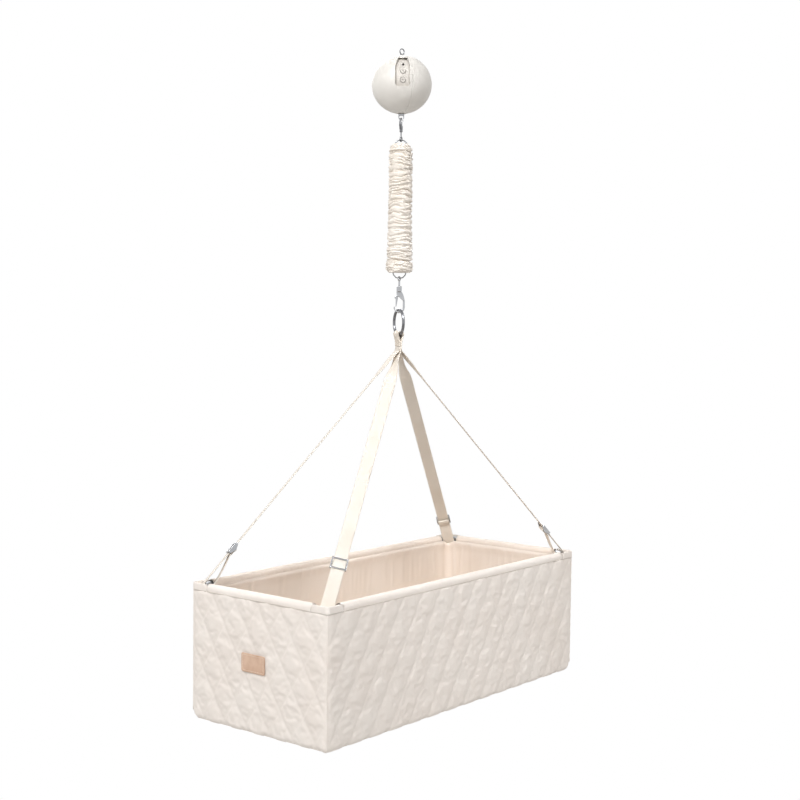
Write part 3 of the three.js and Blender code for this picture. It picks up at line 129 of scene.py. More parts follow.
# rows of points joined into a sheet; a closed row ends at its first point, a closed run at its first row
def loft(name, rows, closedRow=True, closedRun=False, uvs=None):
    size = len(rows[0])
    points = [p for row in rows for p in row]
    faces = []
    for i in range(len(rows) if closedRun else len(rows) - 1):
        here, there = i * size, ((i + 1) % len(rows)) * size
        for j in range(size if closedRow else size - 1):
            k = (j + 1) % size
            faces.append((here + j, here + k, there + k, there + j))
    if closedRow and not closedRun:
        last = (len(rows) - 1) * size
        faces.append(tuple(reversed(range(size))))
        faces.append(tuple(range(last, last + size)))
    obj = meshObject(name, points, faces, uvs)
    work = bmesh.new()
    work.from_mesh(obj.data)
    bmesh.ops.recalc_face_normals(work, faces=work.faces)
    work.to_mesh(obj.data)
    work.free()
    return obj


def lathe(name, profile, sides=48):
    return loft(name, [[polar(radius, a, height) for a in circle(sides)] for radius, height in profile])


# a round wire along points, its section carried without twisting
def wire(name, path, radius, sides=16, closed=False):
    count = len(path)
    rows = []
    side = None
    for i, point in enumerate(path):
        ahead = path[(i + 1) % count] if closed or i < count - 1 else point
        behind = path[i - 1] if closed or i > 0 else point
        along = (ahead - behind).normalized()
        if side is None:
            side = along.orthogonal().normalized()
        side = (side - along * side.dot(along)).normalized()
        other = along.cross(side)
        rows.append([point + (side * cos(a) + other * sin(a)) * radius for a in circle(sides)])
    return loft(name, rows, closedRun=closed)


def modify(obj, kind, **values):
    modifier = obj.modifiers.new(kind.lower(), kind)
    for key, value in values.items():
        setattr(modifier, key, value)
    return modifier


def applyAll(obj):
    depsgraph = bpy.context.evaluated_depsgraph_get()
    mesh = bpy.data.meshes.new_from_object(obj.evaluated_get(depsgraph))
    obj.modifiers.clear()
    obj.data = mesh
    mesh.polygons.foreach_set("use_smooth", [True] * len(mesh.polygons))
    return obj


# the frame's own faceted solid made round and soft-edged, as a cast or moulded piece is
def softened(name, node, coarse, passes):
    obj = linked(name, nodes[node].data.copy())
    modify(obj, "REMESH", mode="VOXEL", voxel_size=coarse * mm)
    modify(obj, "SMOOTH", factor=0.5, iterations=passes)
    return applyAll(obj)


def paint(obj, look):
    obj.data.materials.clear()
    obj.data.materials.append(finish[look])


def dress(obj, look, body, slot, *replaced):
    paint(obj, look)
    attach(obj, body)
    if replaced:
        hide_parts(*replaced)
    return obj


def shortened(step, most):
    return step * (most / step.length) if step.length > most else step


# air presses cloth outward, without weight; hold says how much of a point's step the sewing lets through
def blowUp(obj, spec, hold, seams=""):
    rest = [v.co.copy() for v in obj.data.vertices]
    cloth = modify(obj, "CLOTH")
    values = {
        "quality": 4, "mass": spec["mass"], "bending_stiffness": spec["bending"], "vertex_group_mass": seams,
        "tension_stiffness": spec["stiffness"], "compression_stiffness": spec["stiffness"],
        "shrink_min": spec["shrink"], "use_pressure": True, "uniform_pressure_force": 4,
    }
    for key, value in values.items():
        setattr(cloth.settings, key, value)
    cloth.settings.effector_weights.gravity = 0
    cloth.point_cache.frame_start, cloth.point_cache.frame_end = 1, spec["frames"]
    for frameNumber in range(1, spec["frames"] + 1):
        scene.frame_set(frameNumber)
    moved = obj.evaluated_get(bpy.context.evaluated_depsgraph_get()).data
    for vertex, before in zip(moved.vertices, rest):
        obj.data.vertices[vertex.index].co = before + hold(vertex.co - before)
    obj.modifiers.clear()
    scene.frame_set(1)


# camera at the photograph's place and angle

cameraSpec = {
    "azimuth": -51.1, "elevation": 3.63, "roll": 0.7,
    "distance": 2.936, "aside": 0.0118, "above": 0.6036, "lens": 63.78, "sensor": 36,
}


def makeCamera():
    spec = cameraSpec
    azimuth, elevation, roll = (radians(spec[k]) for k in ("azimuth", "elevation", "roll"))
    flat = polar(1, azimuth)
    back = Vector((flat.y * cos(elevation), -flat.x * cos(elevation), sin(elevation)))
    high = back.cross(flat)
    right = flat * cos(roll) + high * sin(roll)
    upward = high * cos(roll) - flat * sin(roll)
    target = Vector((0, 0, cadBounds[0].z))
    place = target + back * spec["distance"] + right * spec["aside"] + upward * spec["above"]
    data = bpy.data.cameras.new("camera")
    data.sensor_width = spec["sensor"]
    data.lens = spec["lens"]
    camera = linked("camera", data)
    camera.matrix_world = Matrix.Translation(place) @ Matrix((right, upward, back)).transposed().to_4x4()
    scene.camera = camera


makeCamera()
print("camera placed")


# shader groups that several finishes share: each puts out a colour, a roughness and a height

def newGroup(name, inputs):
    group = bpy.data.node_groups.new(name, "ShaderNodeTree")
    for label, value in inputs.items():
        kind = {type(None): "Vector", tuple: "Color", float: "Float"}[type(value)]
        socket = group.interface.new_socket(label, in_out="INPUT", socket_type="NodeSocket" + kind)
        if value is not None:
            socket.default_value = value
    for label, kind in (("Colour", "Color"), ("Roughness", "Float"), ("Height", "Float")):
        group.interface.new_socket(label, in_out="OUTPUT", socket_type="NodeSocket" + kind)
    return group, group.nodes.new("NodeGroupInput").outputs, group.nodes.new("NodeGroupOutput")


# values are plain ones or other nodes' outputs; i0, i1 and so on name an input by its place
def feed(tree, node, values):
    for key, value in values.items():
        socket = node.inputs[int(key[1:])] if key[1:].isdigit() else node.inputs[key]
        if isinstance(value, bpy.types.NodeSocket):
            tree.links.new(value, socket)
        else:
            socket.default_value = value
    return node


def addNode(tree, kind, settings=None, **values):
    node = tree.nodes.new(kind)
    for key, value in (settings or {}).items():
        setattr(node, key, value)
    return feed(tree, node, values)


def mathNode(tree, operation, a, b=0.0, c=0.0):
    return addNode(tree, "ShaderNodeMath", {"operation": operation}, i0=a, i1=b, i2=c).outputs[0]


def noiseNode(tree, place, scale, detail):
    return addNode(tree, "ShaderNodeTexNoise", Vector=place, Scale=scale, Detail=detail).outputs[0]


# from low to high in, from start to end out
def rangeNode(tree, value, low=0.0, high=1.0, start=0.0, end=1.0):
    return addNode(tree, "ShaderNodeMapRange", i0=value, i1=low, i2=high, i3=start, i4=end).outputs[0]


def shadeNode(tree, factor, dark, light):
    return addNode(tree, "ShaderNodeMix", {"data_type": "RGBA"}, i0=factor, i6=dark, i7=light).outputs[2]


# plain weave: warp and weft waves that pass over each other, with slubs and soft blotches; the colour
# follows the weave's height, with painted light on the threads' crowns and painted shade between them
def buildClothGroup():
    group, given, out = newGroup("wovenCloth", {
        "Coordinates": None, "Colour": (1, 1, 1, 1), "Shade": (0.5, 0.5, 0.5, 1), "Threads": 1800.0,
        "Blotch": 9.0, "Slub": 60.0,
    })
    split = addNode(group, "ShaderNodeSeparateXYZ", i0=given["Coordinates"]).outputs
    slub = noiseNode(group, given["Coordinates"], given["Slub"], 4.0)
    blotch = noiseNode(group, given["Coordinates"], given["Blotch"], 3.0)
    wander = mathNode(group, "MULTIPLY", slub, 3.0)
    warp, weft = (mathNode(group, "SINE", mathNode(
        group, "ADD", mathNode(group, "MULTIPLY", split[k], given["Threads"]), wander)) for k in (0, 1))
    thread = mathNode(group, "MULTIPLY_ADD", mathNode(group, "MULTIPLY", warp, weft), 0.5, 0.5)
    tone = mathNode(group, "MULTIPLY", rangeNode(group, blotch, 0.35, 0.68), 0.75)
    # the thread term is painted light and shade of the weave (lighter where the cloth stands high); the
    # blotch term is a random tone of the cloth
    weaveShadeAndBlotch = mathNode(group, "MULTIPLY_ADD", thread, 0.16, tone)
    feed(group, out, {
        "Colour": shadeNode(group, weaveShadeAndBlotch, given["Shade"], given["Colour"]),
        "Roughness": rangeNode(group, slub, start=0.78, end=0.97),
        "Height": mathNode(group, "ADD", thread, slub),
    })
    return group


# a hard surface: fine grain, faint handling smudges and a little wear
def buildHardGroup():
    group, given, out = newGroup("handledSurface", {
        "Coordinates": None, "Colour": (1, 1, 1, 1), "Shade": (0.5, 0.5, 0.5, 1), "Smooth": 0.2,
        "Rough": 0.5, "Grain": 900.0, "Smudge": 25.0,
    })
    smudge = rangeNode(group, noiseNode(group, given["Coordinates"], given["Smudge"], 5.0), 0.3, 0.7)
    feed(group, out, {
        "Colour": shadeNode(group, smudge, given["Shade"], given["Colour"]),
        "Roughness": rangeNode(group, smudge, start=given["Rough"], end=given["Smooth"]),
        "Height": noiseNode(group, given["Coordinates"], given["Grain"], 2.0),
    })
    return group


clothGroup = buildClothGroup()
hardGroup = buildHardGroup()


# which way the weave runs: along a wall, flat on the mattress, or down a strap
def coordinatesOf(tree, layout):
    if layout == "strap":
        return addNode(tree, "ShaderNodeUVMap", {"uv_map": "weave"}).outputs[0]
    place = addNode(tree, "ShaderNodeTexCoord").outputs["Object"]
    if layout != "wall":
        return place
    x, y, z = addNode(tree, "ShaderNodeSeparateXYZ", i0=place).outputs
    return addNode(tree, "ShaderNodeCombineXYZ", i0=mathNode(tree, "ADD", x, y), i1=z,
                   i2=mathNode(tree, "SUBTRACT", x, y)).outputs[0]


def newMaterial(name, group, spec, depth, look, **values):
    material = bpy.data.materials.new(name)
    material.use_nodes = True
    tree = material.node_tree
    body = addNode(tree, "ShaderNodeGroup", {"node_tree": group}, Colour=hexColour(spec["colour"]),
                   Shade=hexColour(spec["shade"]), Coordinates=coordinatesOf(tree, spec.get("layout")),
                   **values).outputs
    relief = addNode(tree, "ShaderNodeBump", Height=body["Height"], Strength=spec["bump"], Distance=depth)
    feed(tree, tree.nodes["Principled BSDF"], {
        "Base Color": body["Colour"], "Roughness": body["Roughness"], "Normal": relief.outputs[0], **look})
    return material


clothFinishes = {
    "quiltCotton": {"layout": "wall", "colour": "f9f3ed", "shade": "f5ede6", "threads": 2600, "bump": 0.25},
    "liningJersey": {"layout": "wall", "colour": "f6ece3", "shade": "f1e5da", "threads": 1900, "bump": 0.3},
    "mattressCotton": {"colour": "efe6dc", "shade": "e2d6c9", "threads": 2200, "bump": 0.3},
    "sleeveCotton": {"layout": "wall", "colour": "f8f3ed", "shade": "f0e8de", "threads": 2200, "bump": 0.3},
    "strapWebbing": {
        "layout": "strap", "colour": "f3ede5", "shade": "e9e1d6", "threads": 3400, "bump": 0.25},
    "loopWebbing": {"layout": "wall", "colour": "f2eadf", "shade": "e4d8ca", "threads": 3400, "bump": 0.45},
    "thread": {"colour": "f4ede4", "shade": "e2d8cc", "threads": 5200, "bump": 0.3},
}
hardFinishes = {
    "housingPlastic": {
        "colour": "ebe9e4", "shade": "e5e2dd", "rough": (0.5, 0.4), "bump": 0.06, "grain": 1400},
    "controlPlastic": {
        "colour": "d9d5cf", "shade": "cfcac4", "rough": (0.42, 0.3), "bump": 0.05, "grain": 1400},
    "symbolPlastic": {
        "colour": "6f6963", "shade": "5f5a54", "rough": (0.45, 0.35), "bump": 0.05, "grain": 1200},
    "lensPlastic": {"colour": "2a2422", "shade": "1c1817", "rough": (0.2, 0.12), "bump": 0.01, "grain": 500},
    "chrome": {"colour": "c2c3c6", "shade": "a9abae", "rough": (0.24, 0.12), "metal": 1.0, "bump": 0.02},
    "darkChrome": {"colour": "8e8f92", "shade": "77787c", "rough": (0.3, 0.16), "metal": 1.0, "bump": 0.02},
    "zincSteel": {"colour": "b0b2b4", "shade": "93969a", "rough": (0.45, 0.3), "metal": 1.0, "bump": 0.08},
    "gearBrass": {"colour": "c9a961", "shade": "a98742", "rough": (0.4, 0.28), "metal": 1.0, "bump": 0.08},
    "bushNylon": {"colour": "dddbd5", "shade": "cfccc5", "rough": (0.55, 0.45), "bump": 0.05},
    "circuitGreen": {"colour": "2f6d44", "shade": "235636", "rough": (0.4, 0.3), "bump": 0.1},
    "motorBlack": {"colour": "35363a", "shade": "25262a", "rough": (0.55, 0.4), "bump": 0.1},
    "plywood": {"colour": "d3b78d", "shade": "bb9a6c", "rough": (0.75, 0.6), "bump": 0.2, "grain": 90},
    "patchLeather": {
        "colour": "e3c4ad", "shade": "d2ad94", "rough": (0.68, 0.5), "bump": 0.5,
        "grain": 1500, "smudge": 60},
}
clothLook = {"Sheen Weight": 0.12, "Sheen Roughness": 0.5, "Specular IOR Level": 0.25}
clothRelief, hardRelief = 0.0004, 0.0003

finish = {}
for look, spec in clothFinishes.items():
    finish[look] = newMaterial(look, clothGroup, spec, clothRelief, clothLook, Threads=spec["threads"])
for look, spec in hardFinishes.items():
    finish[look] = newMaterial(
        look, hardGroup, spec, hardRelief, {"Metallic": spec.get("metal", 0)}, Rough=spec["rough"][0],
        Smooth=spec["rough"][1], Grain=spec.get("grain", 700), Smudge=spec.get("smudge", 25))

# what keeps the frame's own shape: the works inside the housing, the tubes inside the hems and the underside
plainNodes = {
    "zincSteel": ["housing_screw_1", "housing_screw_2", "drive_rod", "chassis_plate", "eye_nut",
                  "frame_tube_front", "frame_tube_back"],
    "chrome": ["eye_collar"], "gearBrass": ["drive_pinion"], "bushNylon": ["guide_bush"],
    "circuitGreen": ["circuit_board"], "motorBlack": ["gear_motor", "battery_pack"],
    "plywood": ["base_board"], "mattressCotton": ["base_panel"],
}
for look, members in plainNodes.items():
    for member in members:
        paint(nodes[member], look)
print("finishes made:", len(finish))


# room: a pale floor well below the hanging cradle, soft lamps, white background

roomSpec = {
    "drop": 1.1, "floorReach": 9.0, "fadeStart": 0.35, "fadeEnd": 1.5, "floor": "f4f3f1", "floorRough": 0.9,
    "ambient": 0.36, "ambientTint": "fffaf5",
    "lamps": {
        "key": {"at": (-3.0, -0.35, 1.8), "aim": (0, 0, -0.9), "size": 1.5, "power": 94, "spread": 180},
        "front": {
            "at": (-0.5, -2.5, 1.9), "aim": (0.15, 0.2, -1.3), "size": 1.2, "power": 3.1, "spread": 36},
        "low": {"at": (-0.4, -2.6, -1.8), "aim": (0, -0.1, -1.2), "size": 1.6, "power": 0.7, "spread": 60},
        "back": {"at": (1.8, 2.6, 1.2), "aim": (0, 0, -1.1), "size": 2.4, "power": 52, "spread": 180},
    },
}


# white to the camera and in reflections, dimmer and a little warm where it lights the cradle
def makeWorld():
    scene.world = bpy.data.worlds.new("studio")
    scene.world.use_nodes = True
    tree = scene.world.node_tree
    path = addNode(tree, "ShaderNodeLightPath").outputs
    seen = mathNode(tree, "MAXIMUM", path["Is Camera Ray"], path["Is Glossy Ray"])
    seen = mathNode(tree, "MAXIMUM", seen, path["Is Transmission Ray"])
    feed(tree, tree.nodes["Background"], {
        "Strength": rangeNode(tree, seen, start=roomSpec["ambient"]),
        "Color": shadeNode(tree, seen, hexColour(roomSpec["ambientTint"]), (1, 1, 1, 1)),
    })


def makeLamps():
    for name, spec in roomSpec["lamps"].items():
        data = bpy.data.lights.new(name, "AREA")
        data.shape = "DISK"
        data.size = spec["size"]
        data.energy = spec["power"]
        data.spread = radians(spec["spread"])
        place = Vector(spec["at"])
        toward = (Vector(spec["aim"]) - place).to_track_quat("-Z", "Y")
        linked(name, data).matrix_world = Matrix.Translation(place) @ toward.to_matrix().to_4x4()


# the floor fades to white away from the cradle, and from below it isn't there
def makeFloor():
    reach, low = roomSpec["floorReach"], cadBounds[0].z - roomSpec["drop"]
    corners = [(-reach, -reach, low), (reach, -reach, low), (reach, reach, low), (-reach, reach, low)]
    floor = meshObject("floor", corners, [(0, 1, 2, 3)])
    material = bpy.data.materials.new("paleFloor")
    material.use_nodes = True
    tree = material.node_tree
    values = {"Base Color": hexColour(roomSpec["floor"]), "Roughness": roomSpec["floorRough"]}
    shader = feed(tree, tree.nodes["Principled BSDF"], values).outputs[0]
    place = addNode(tree, "ShaderNodeTexCoord").outputs["Object"]
    x, y, z = addNode(tree, "ShaderNodeSeparateXYZ", i0=place).outputs
    flat = addNode(tree, "ShaderNodeCombineXYZ", i0=x, i1=y).outputs[0]
    distance = addNode(tree, "ShaderNodeVectorMath", {"operation": "LENGTH"}, i0=flat).outputs[1]
    fade = rangeNode(tree, distance, roomSpec["fadeStart"], roomSpec["fadeEnd"])
    white = addNode(tree, "ShaderNodeEmission", Strength=1.0).outputs[0]
    clear = addNode(tree, "ShaderNodeBsdfTransparent").outputs[0]
    seen = mathNode(tree, "MULTIPLY", fade, addNode(tree, "ShaderNodeLightPath").outputs[0])
    soft = addNode(tree, "ShaderNodeMixShader", i0=seen, i1=shader, i2=white).outputs[0]
    facing = addNode(tree, "ShaderNodeNewGeometry").outputs["Backfacing"]
    whole = addNode(tree, "ShaderNodeMixShader", i0=facing, i1=soft, i2=clear).outputs[0]
    feed(tree, tree.nodes["Material Output"], {"Surface": whole})
    floor.data.materials.append(material)


makeWorld()
makeLamps()
makeFloor()
scene.view_settings.view_transform = "Standard"
print("room made")


# motor housing: two moulded half shells with a tall recess for the controls

housingSpec = {
    "turn": -51, "centre": -65.75, "width": 121.5, "height": 116.5, "wall": 2.4, "edge": 0.7,
    "rows": 64, "sides": 128,
    "seamTurn": 21, "seam": 0.35, "eyeHole": 2.9, "bushHole": 9.8, "boreReach": 90, "halfReach": 100,
    "recessWidth": 29, "recessTop": 48, "recessBottom": 12, "recessOffset": 1.6, "recessReach": 80,
    "shoulder": 18, "topShare": 0.62, "recessRadius": 6, "rim": 1.6, "rimDepth": 7.5,
    "panelDepth": 5, "panelThickness": 2.2, "panelFit": 0.3, "panelEdge": 0.35, "controlAcross": 2.5,
    "startLift": 20.6, "modeLift": 1.0, "lensLift": 35.3, "buttonRadius": 5.2, "play": 0.5, "proud": 1.3,
    "keySkirt": 6, "keyBend": 0.9, "keyEdge": 0.1, "keyDish": 0.35,
    "keyBore": (-15, 10), "lensRadius": 1.7, "lensTop": -2.9, "lensDome": 0.7,
}
signSpec = {
    "wire": 0.24, "sunk": 0.3, "ring": 1.9, "from": 125, "to": 415, "barLow": 0.7, "barHigh": 2.5,
    "wave": 2.2, "swing": 0.8, "apart": 0.9,
}
tip = 0.02  # a lathed piece ends in a disc as small as this


# a place on the line under the eye, in millimetres and turned about it
def hung(spec):
    return Matrix.Translation(up * (spec["centre"] * mm)) @ zTurn(spec["turn"]) @ Matrix.Scale(mm, 4)


housingFrame = hung(housingSpec)


def ball(name, inset):
    radius, high = housingSpec["width"] / 2 - inset, housingSpec["height"] / 2 - inset
    angles = [pi * i / housingSpec["rows"] for i in range(1, housingSpec["rows"])]
    return lathe(name, [(radius * sin(a), high * cos(a)) for a in angles], housingSpec["sides"])


def prism(outline, near, far):
    return loft("cutter", [[Vector((x, y, z)) for x, z in outline] for y in (near, far)])


def recessPrism(grow):
    spec = housingSpec
    half, across = spec["recessWidth"] / 2 + grow, spec["recessOffset"]
    top, bottom, bend = spec["recessTop"] + grow, -spec["recessBottom"] - grow, spec["recessRadius"]
    arcs = []
    for centre, start in ((across + half - bend, -90), (across - half + bend, 180)):
        turn = [radians(start + 15 * i) for i in range(7)]
        arcs.append([(centre + bend * cos(a), bottom + bend + bend * sin(a)) for a in turn])
    narrow, level = half * spec["topShare"], top - spec["shoulder"]
    peak = [(across + half, level), (across + narrow, top), (across - narrow, top), (across - half, level)]
    return prism(arcs[0] + peak + arcs[1], -spec["recessReach"], 0)


def combine(obj, operation, *others):
    for other in others:
        modify(obj, "BOOLEAN", object=other, operation=operation, solver="MANIFOLD")
        applyAll(obj)
        bpy.data.objects.remove(other)
    return obj


# everything on one side of the seam between the two halves
def seamHalf(side):
    near, reach = side * housingSpec["seam"] / 2, housingSpec["halfReach"]
    far = near + side * reach
    block = prism([(near, -reach), (far, -reach), (far, reach), (near, reach)], -reach, reach)
    block.data.transform(zTurn(housingSpec["seamTurn"]))
    return block


def rodAlong(radius, low, high):
    return lathe("cutter", [(radius, low), (radius, high)], 32)


def bevelled(obj, width, segments):
    modify(obj, "BEVEL", width=width * mm, segments=segments, limit_method="ANGLE", angle_limit=radians(38))


def makeShell(name, side):
    spec = housingSpec
    shell = combine(ball(name, 0), "DIFFERENCE", ball("inner", spec["wall"]))
    if side < 0:
        rim = combine(ball("rim", spec["wall"] / 2), "DIFFERENCE", ball("inner", spec["rimDepth"]))
        combine(rim, "INTERSECT", recessPrism(spec["rim"]))
        combine(shell, "UNION", rim)
        combine(shell, "DIFFERENCE", recessPrism(0))
    reach = spec["boreReach"]
    combine(shell, "DIFFERENCE", rodAlong(spec["eyeHole"], 0, reach), rodAlong(spec["bushHole"], -reach, 0))
    combine(shell, "INTERSECT", seamHalf(side))
    shell.data.transform(housingFrame)
    bevelled(shell, spec["edge"], 3)
    modify(shell, "WEIGHTED_NORMAL", keep_sharp=False)
    return applyAll(shell)


# where a control stands on the ball, its axis square to the surface
def controlFrame(lift):
    width, height = housingSpec["width"] / 2, housingSpec["height"] / 2
    reach = width * sqrt(1 - (lift / height) ** 2)
    lean = atan2(lift / height ** 2, reach / width ** 2)
    place = Matrix.Translation((housingSpec["controlAcross"], -reach, lift))
    return place @ Matrix.Rotation(pi / 2 - lean, 4, "X")


def makePanel():
    spec = housingSpec
    depth = spec["panelDepth"]
    panel = combine(ball("panel", depth), "DIFFERENCE", ball("inner", depth + spec["panelThickness"]))
    combine(panel, "INTERSECT", recessPrism(-spec["panelFit"]))
    for control, radius in (("start", "button"), ("mode", "button"), ("lens", "lens")):
        hole = rodAlong(spec[radius + "Radius"] + spec["play"], *spec["keyBore"])
        hole.data.transform(controlFrame(spec[control + "Lift"]))
        combine(panel, "DIFFERENCE", hole)
    panel.data.transform(housingFrame)
    bevelled(panel, spec["panelEdge"], 2)
    return applyAll(panel)


# a domed key: skirt, rounded shoulder and a shallow dish in its face
def keyProfile(radius, proud):
    skirt, bend, edge, dish = (housingSpec["key" + part] for part in ("Skirt", "Bend", "Edge", "Dish"))
    profile = [(tip, proud - skirt), (radius, proud - skirt), (radius, proud - bend - edge)]
    turn = [radians(15 * i) for i in range(1, 6)]
    profile += [(radius - bend + bend * cos(a), proud - bend + bend * sin(a) - edge) for a in turn]
    profile += [(radius * share, proud - edge - dish * (1 - share ** 2)) for share in (0.72, 0.5, 0.3, 0.1)]
    return profile + [(tip, proud - edge - dish)]


def powerMark(height):
    spec = signSpec
    ring = [polar(spec["ring"], radians(mix(spec["from"], spec["to"], i / 20)), height) for i in range(21)]
    return [ring, [Vector((0, spec["barLow"], height)), Vector((0, spec["barHigh"], height))]]


def waveMark(height):
    wave, swing, apart = (signSpec[key] for key in ("wave", "swing", "apart"))
    shares = [i / 24 for i in range(25)]
    return [[Vector((mix(-wave, wave, share), swing * sin(share * 2 * pi) + shift, height))
             for share in shares] for shift in (-apart, apart)]


def makeKey(name, lift, body, mark):
    spec = housingSpec
    proud = spec["proud"] - spec["panelDepth"]
    key = lathe(name, keyProfile(spec["buttonRadius"], proud), 64)
    signs = [wire(name + ".mark" + str(i), path, signSpec["wire"], 8)
             for i, path in enumerate(mark(proud - signSpec["sunk"]))]
    for piece in [key] + signs:
        piece.data.transform(housingFrame @ controlFrame(lift))
    dress(key, "controlPlastic", body, "control_plastic", body)
    for sign in signs:
        dress(sign, "symbolPlastic", body, "control_plastic")


def makeLens():
    radius, top, dome = (housingSpec["lens" + part] for part in ("Radius", "Top", "Dome"))
    turn = [radians(a) for a in range(0, 90, 10)]
    profile = [(tip, -housingSpec["keySkirt"]), (radius, -housingSpec["keySkirt"])]
    profile += [(radius * cos(a), top + radius * dome * sin(a)) for a in turn] + [(tip, top + radius * dome)]
    lens = lathe("lamp.lens", profile, 40)
    lens.data.transform(housingFrame @ controlFrame(housingSpec["lensLift"]))
    dress(lens, "lensPlastic", "housing", "lens", "status_lens")


def makeHousing():
    for name, side in (("front", -1), ("back", 1)):
        shell = makeShell("shell." + name, side)
        dress(shell, "housingPlastic", "housing", "housing_plastic", "housing_shell_" + name)
    dress(makePanel(), "controlPlastic", "housing", "control_plastic", "control_panel")
    makeKey("key.start", housingSpec["startLift"], "start_button", powerMark)
    makeKey("key.mode", housingSpec["modeLift"], "mode_button", waveMark)
    makeLens()


makeHousing()
print("housing made")


# bright metal: cast hooks, wire loops and sliders

cornerNames = ("left", "front", "back", "right")
# node, the body that it rides, finish, slot and how coarsely its edges are rounded
metalSpec = [
    ("top_eye", "housing", "darkChrome", "chrome", 0.3),
    ("lift_loop", "drive", "chrome", "chrome", 0.3),
    ("upper_hook_body", "upper_hook", "darkChrome", "chrome", 0.25),
    ("upper_hook_gate", "upper_gate", "darkChrome", "chrome", 0.18),
    ("upper_hook_eye", "upper_eye", "darkChrome", "chrome", 0.25),
    ("spring_top_loop", "spring_top", "zincSteel", "steel", 0.3),
    ("spring_bottom_loop", "spring_bottom", "zincSteel", "steel", 0.3),
    ("lower_hook_eye", "lower_eye", "chrome", "chrome", 0.25),
    ("lower_hook_body", "lower_hook", "chrome", "chrome", 0.3),
    ("lower_hook_gate", "lower_gate", "chrome", "chrome", 0.2),
] + [("slider_" + side, "slider_" + side, "chrome", "chrome", 0.32) for side in cornerNames]
metalPasses = 14
ringSpec = {
    "radius": 26.25, "wire": 6, "polish": 0.05, "centre": -544.35, "turn": 60.2, "segments": 96, "sides": 28,
}


def makeMetal():
    for node, body, look, slot, coarse in metalSpec:
        dress(softened(node + ".cast", node, coarse, metalPasses), look, body, slot, node)


def makeRing():
    spec = ringSpec
    path = [Vector((spec["radius"] * cos(a), 0, spec["radius"] * sin(a))) for a in circle(spec["segments"])]
    ring = wire("ring.polished", path, spec["wire"] / 2 - spec["polish"], spec["sides"], closed=True)
    ring.data.transform(hung(spec))
    dress(ring, "darkChrome", "ring", "chrome", "carrying_ring")


makeMetal()
makeRing()
print("metal made")


# spring: a long coil inside a gathered cotton sleeve; both stretch between the spring's two ends

springSpec = {
    "radius": 13.6, "wire": 2.7, "sides": 12, "turns": 21, "steps": 40, "top": -205.95, "length": 219,
}
sleeveSpec = {
    "top": -183.95, "length": 259.4, "width": 50.5, "lowWidth": 55, "trim": 0.6, "play": 0.5,
    "rows": 330, "sides": 112, "puckers": 24, "depth": 4.8, "wander": 0.75, "swirl": 0.16,
    "bulge": 0.9, "ripple": 0.12, "flutter": 0.8,
    "creases": ((1.0, 0.19, 1.0), (1.63, 0.22, 0.6)),  # rate, sharpness and share of the depth
    "cuff": 15, "cuffTaper": 8.2, "grooves": ((7.5, 1.4), (16.5, 3.0)), "grooveTilt": 0.9,
    "puffRise": 13, "puffReach": 8, "tuckRise": 26, "tuckTilt": 3.5, "tuck": 3.6, "foldRise": 4.5,
}


def stretchBetween(obj, look, node):
    paint(obj, look)
    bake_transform(obj)
    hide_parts(node)


def makeCoil():
    spec = springSpec
    steps, count = spec["steps"], spec["turns"] * spec["steps"]
    path = []
    for i in range(count + 1):
        angle = 2 * pi * i / steps + radians(housingSpec["turn"])
        path.append(polar(spec["radius"], angle, spec["top"] - spec["length"] * i / count) * mm)
    coil = wire("coil.wound", path, spec["wire"] * mm / 2, spec["sides"])
    stretchBetween(coil, "zincSteel", "spring_coil")


# creases run round the sleeve, fade out and start again a little higher or lower, as gathered cloth does
def sleevePoint(share, angle):
    spec = sleeveSpec
    fall = spec["length"] * share
    rest = spec["length"] - fall
    ridge = polar(1, angle)
    wander = noise(ridge * 0.9 + up * (fall / 45)) * spec["wander"]
    level = share * spec["puckers"] + wander + spec["swirl"] * sin(2 * angle + fall / 17)
    crease = 0.0
    for k, (rate, sharp, deep) in enumerate(spec["creases"]):
        beat = abs((level * rate + k * 0.37) % 1 - 0.5)
        held = smoothStep(0.62 + 1.5 * noise(ridge * 1.7 + Vector((k * 7, 0, fall / 8))))
        crease = max(crease, deep * held * swell(0.5 - beat, sharp))
    small = noise(ridge * 4 + up * (fall / 5))
    bulge = spec["bulge"] * noise(ridge * 1.5 + Vector((3, 0, fall / 9)))
    radius = mix(spec["width"], spec["lowWidth"], smoothStep(share * 2 - 1)) / 2 - spec["trim"]
    radius += bulge - spec["depth"] * crease - spec["ripple"] * small
    radius -= spec["cuffTaper"] * max(0.0, 1 - fall / spec["cuff"]) ** 2
    for groove, deep in spec["grooves"]:
        radius -= deep * swell(fall - groove - spec["grooveTilt"] * sin(angle), 1)
    puff = swell(rest - spec["puffRise"], spec["puffReach"]) * (1.5 + 0.8 * sin(angle + 0.6))
    tuck = swell(rest - spec["tuckRise"] - spec["tuckTilt"] * sin(angle - 0.4), 1.5) * spec["tuck"]
    fold = spec["tuck"] * max(0.0, 1 - rest / spec["foldRise"]) ** 2
    radius = min(radius + puff - tuck - fold, spec["lowWidth"] / 2 + spec["trim"])
    lift = spec["flutter"] * small * min(1.0, rest / 10, fall / 10)
    return polar(radius, angle, spec["top"] - fall - lift) * mm


def makeSleeve():
    count, angles = sleeveSpec["rows"], circle(sleeveSpec["sides"])
    outer = [[sleevePoint(i / count, a) for a in angles] for i in range(count + 1)]
    bore = (springSpec["radius"] + springSpec["wire"] / 2 + sleeveSpec["play"]) * mm
    inner = [[polar(bore, a, row[0].z) for a in angles] for row in (outer[-1], outer[0])]
    sleeve = loft("sleeve.gathered", outer + inner, closedRun=True)
    stretchBetween(sleeve, "sleeveCotton", "spring_sleeve")


makeCoil()
makeSleeve()
print("spring made")


# the cradle's outside, and its corners with the layer that each strap has in the neck under the ring

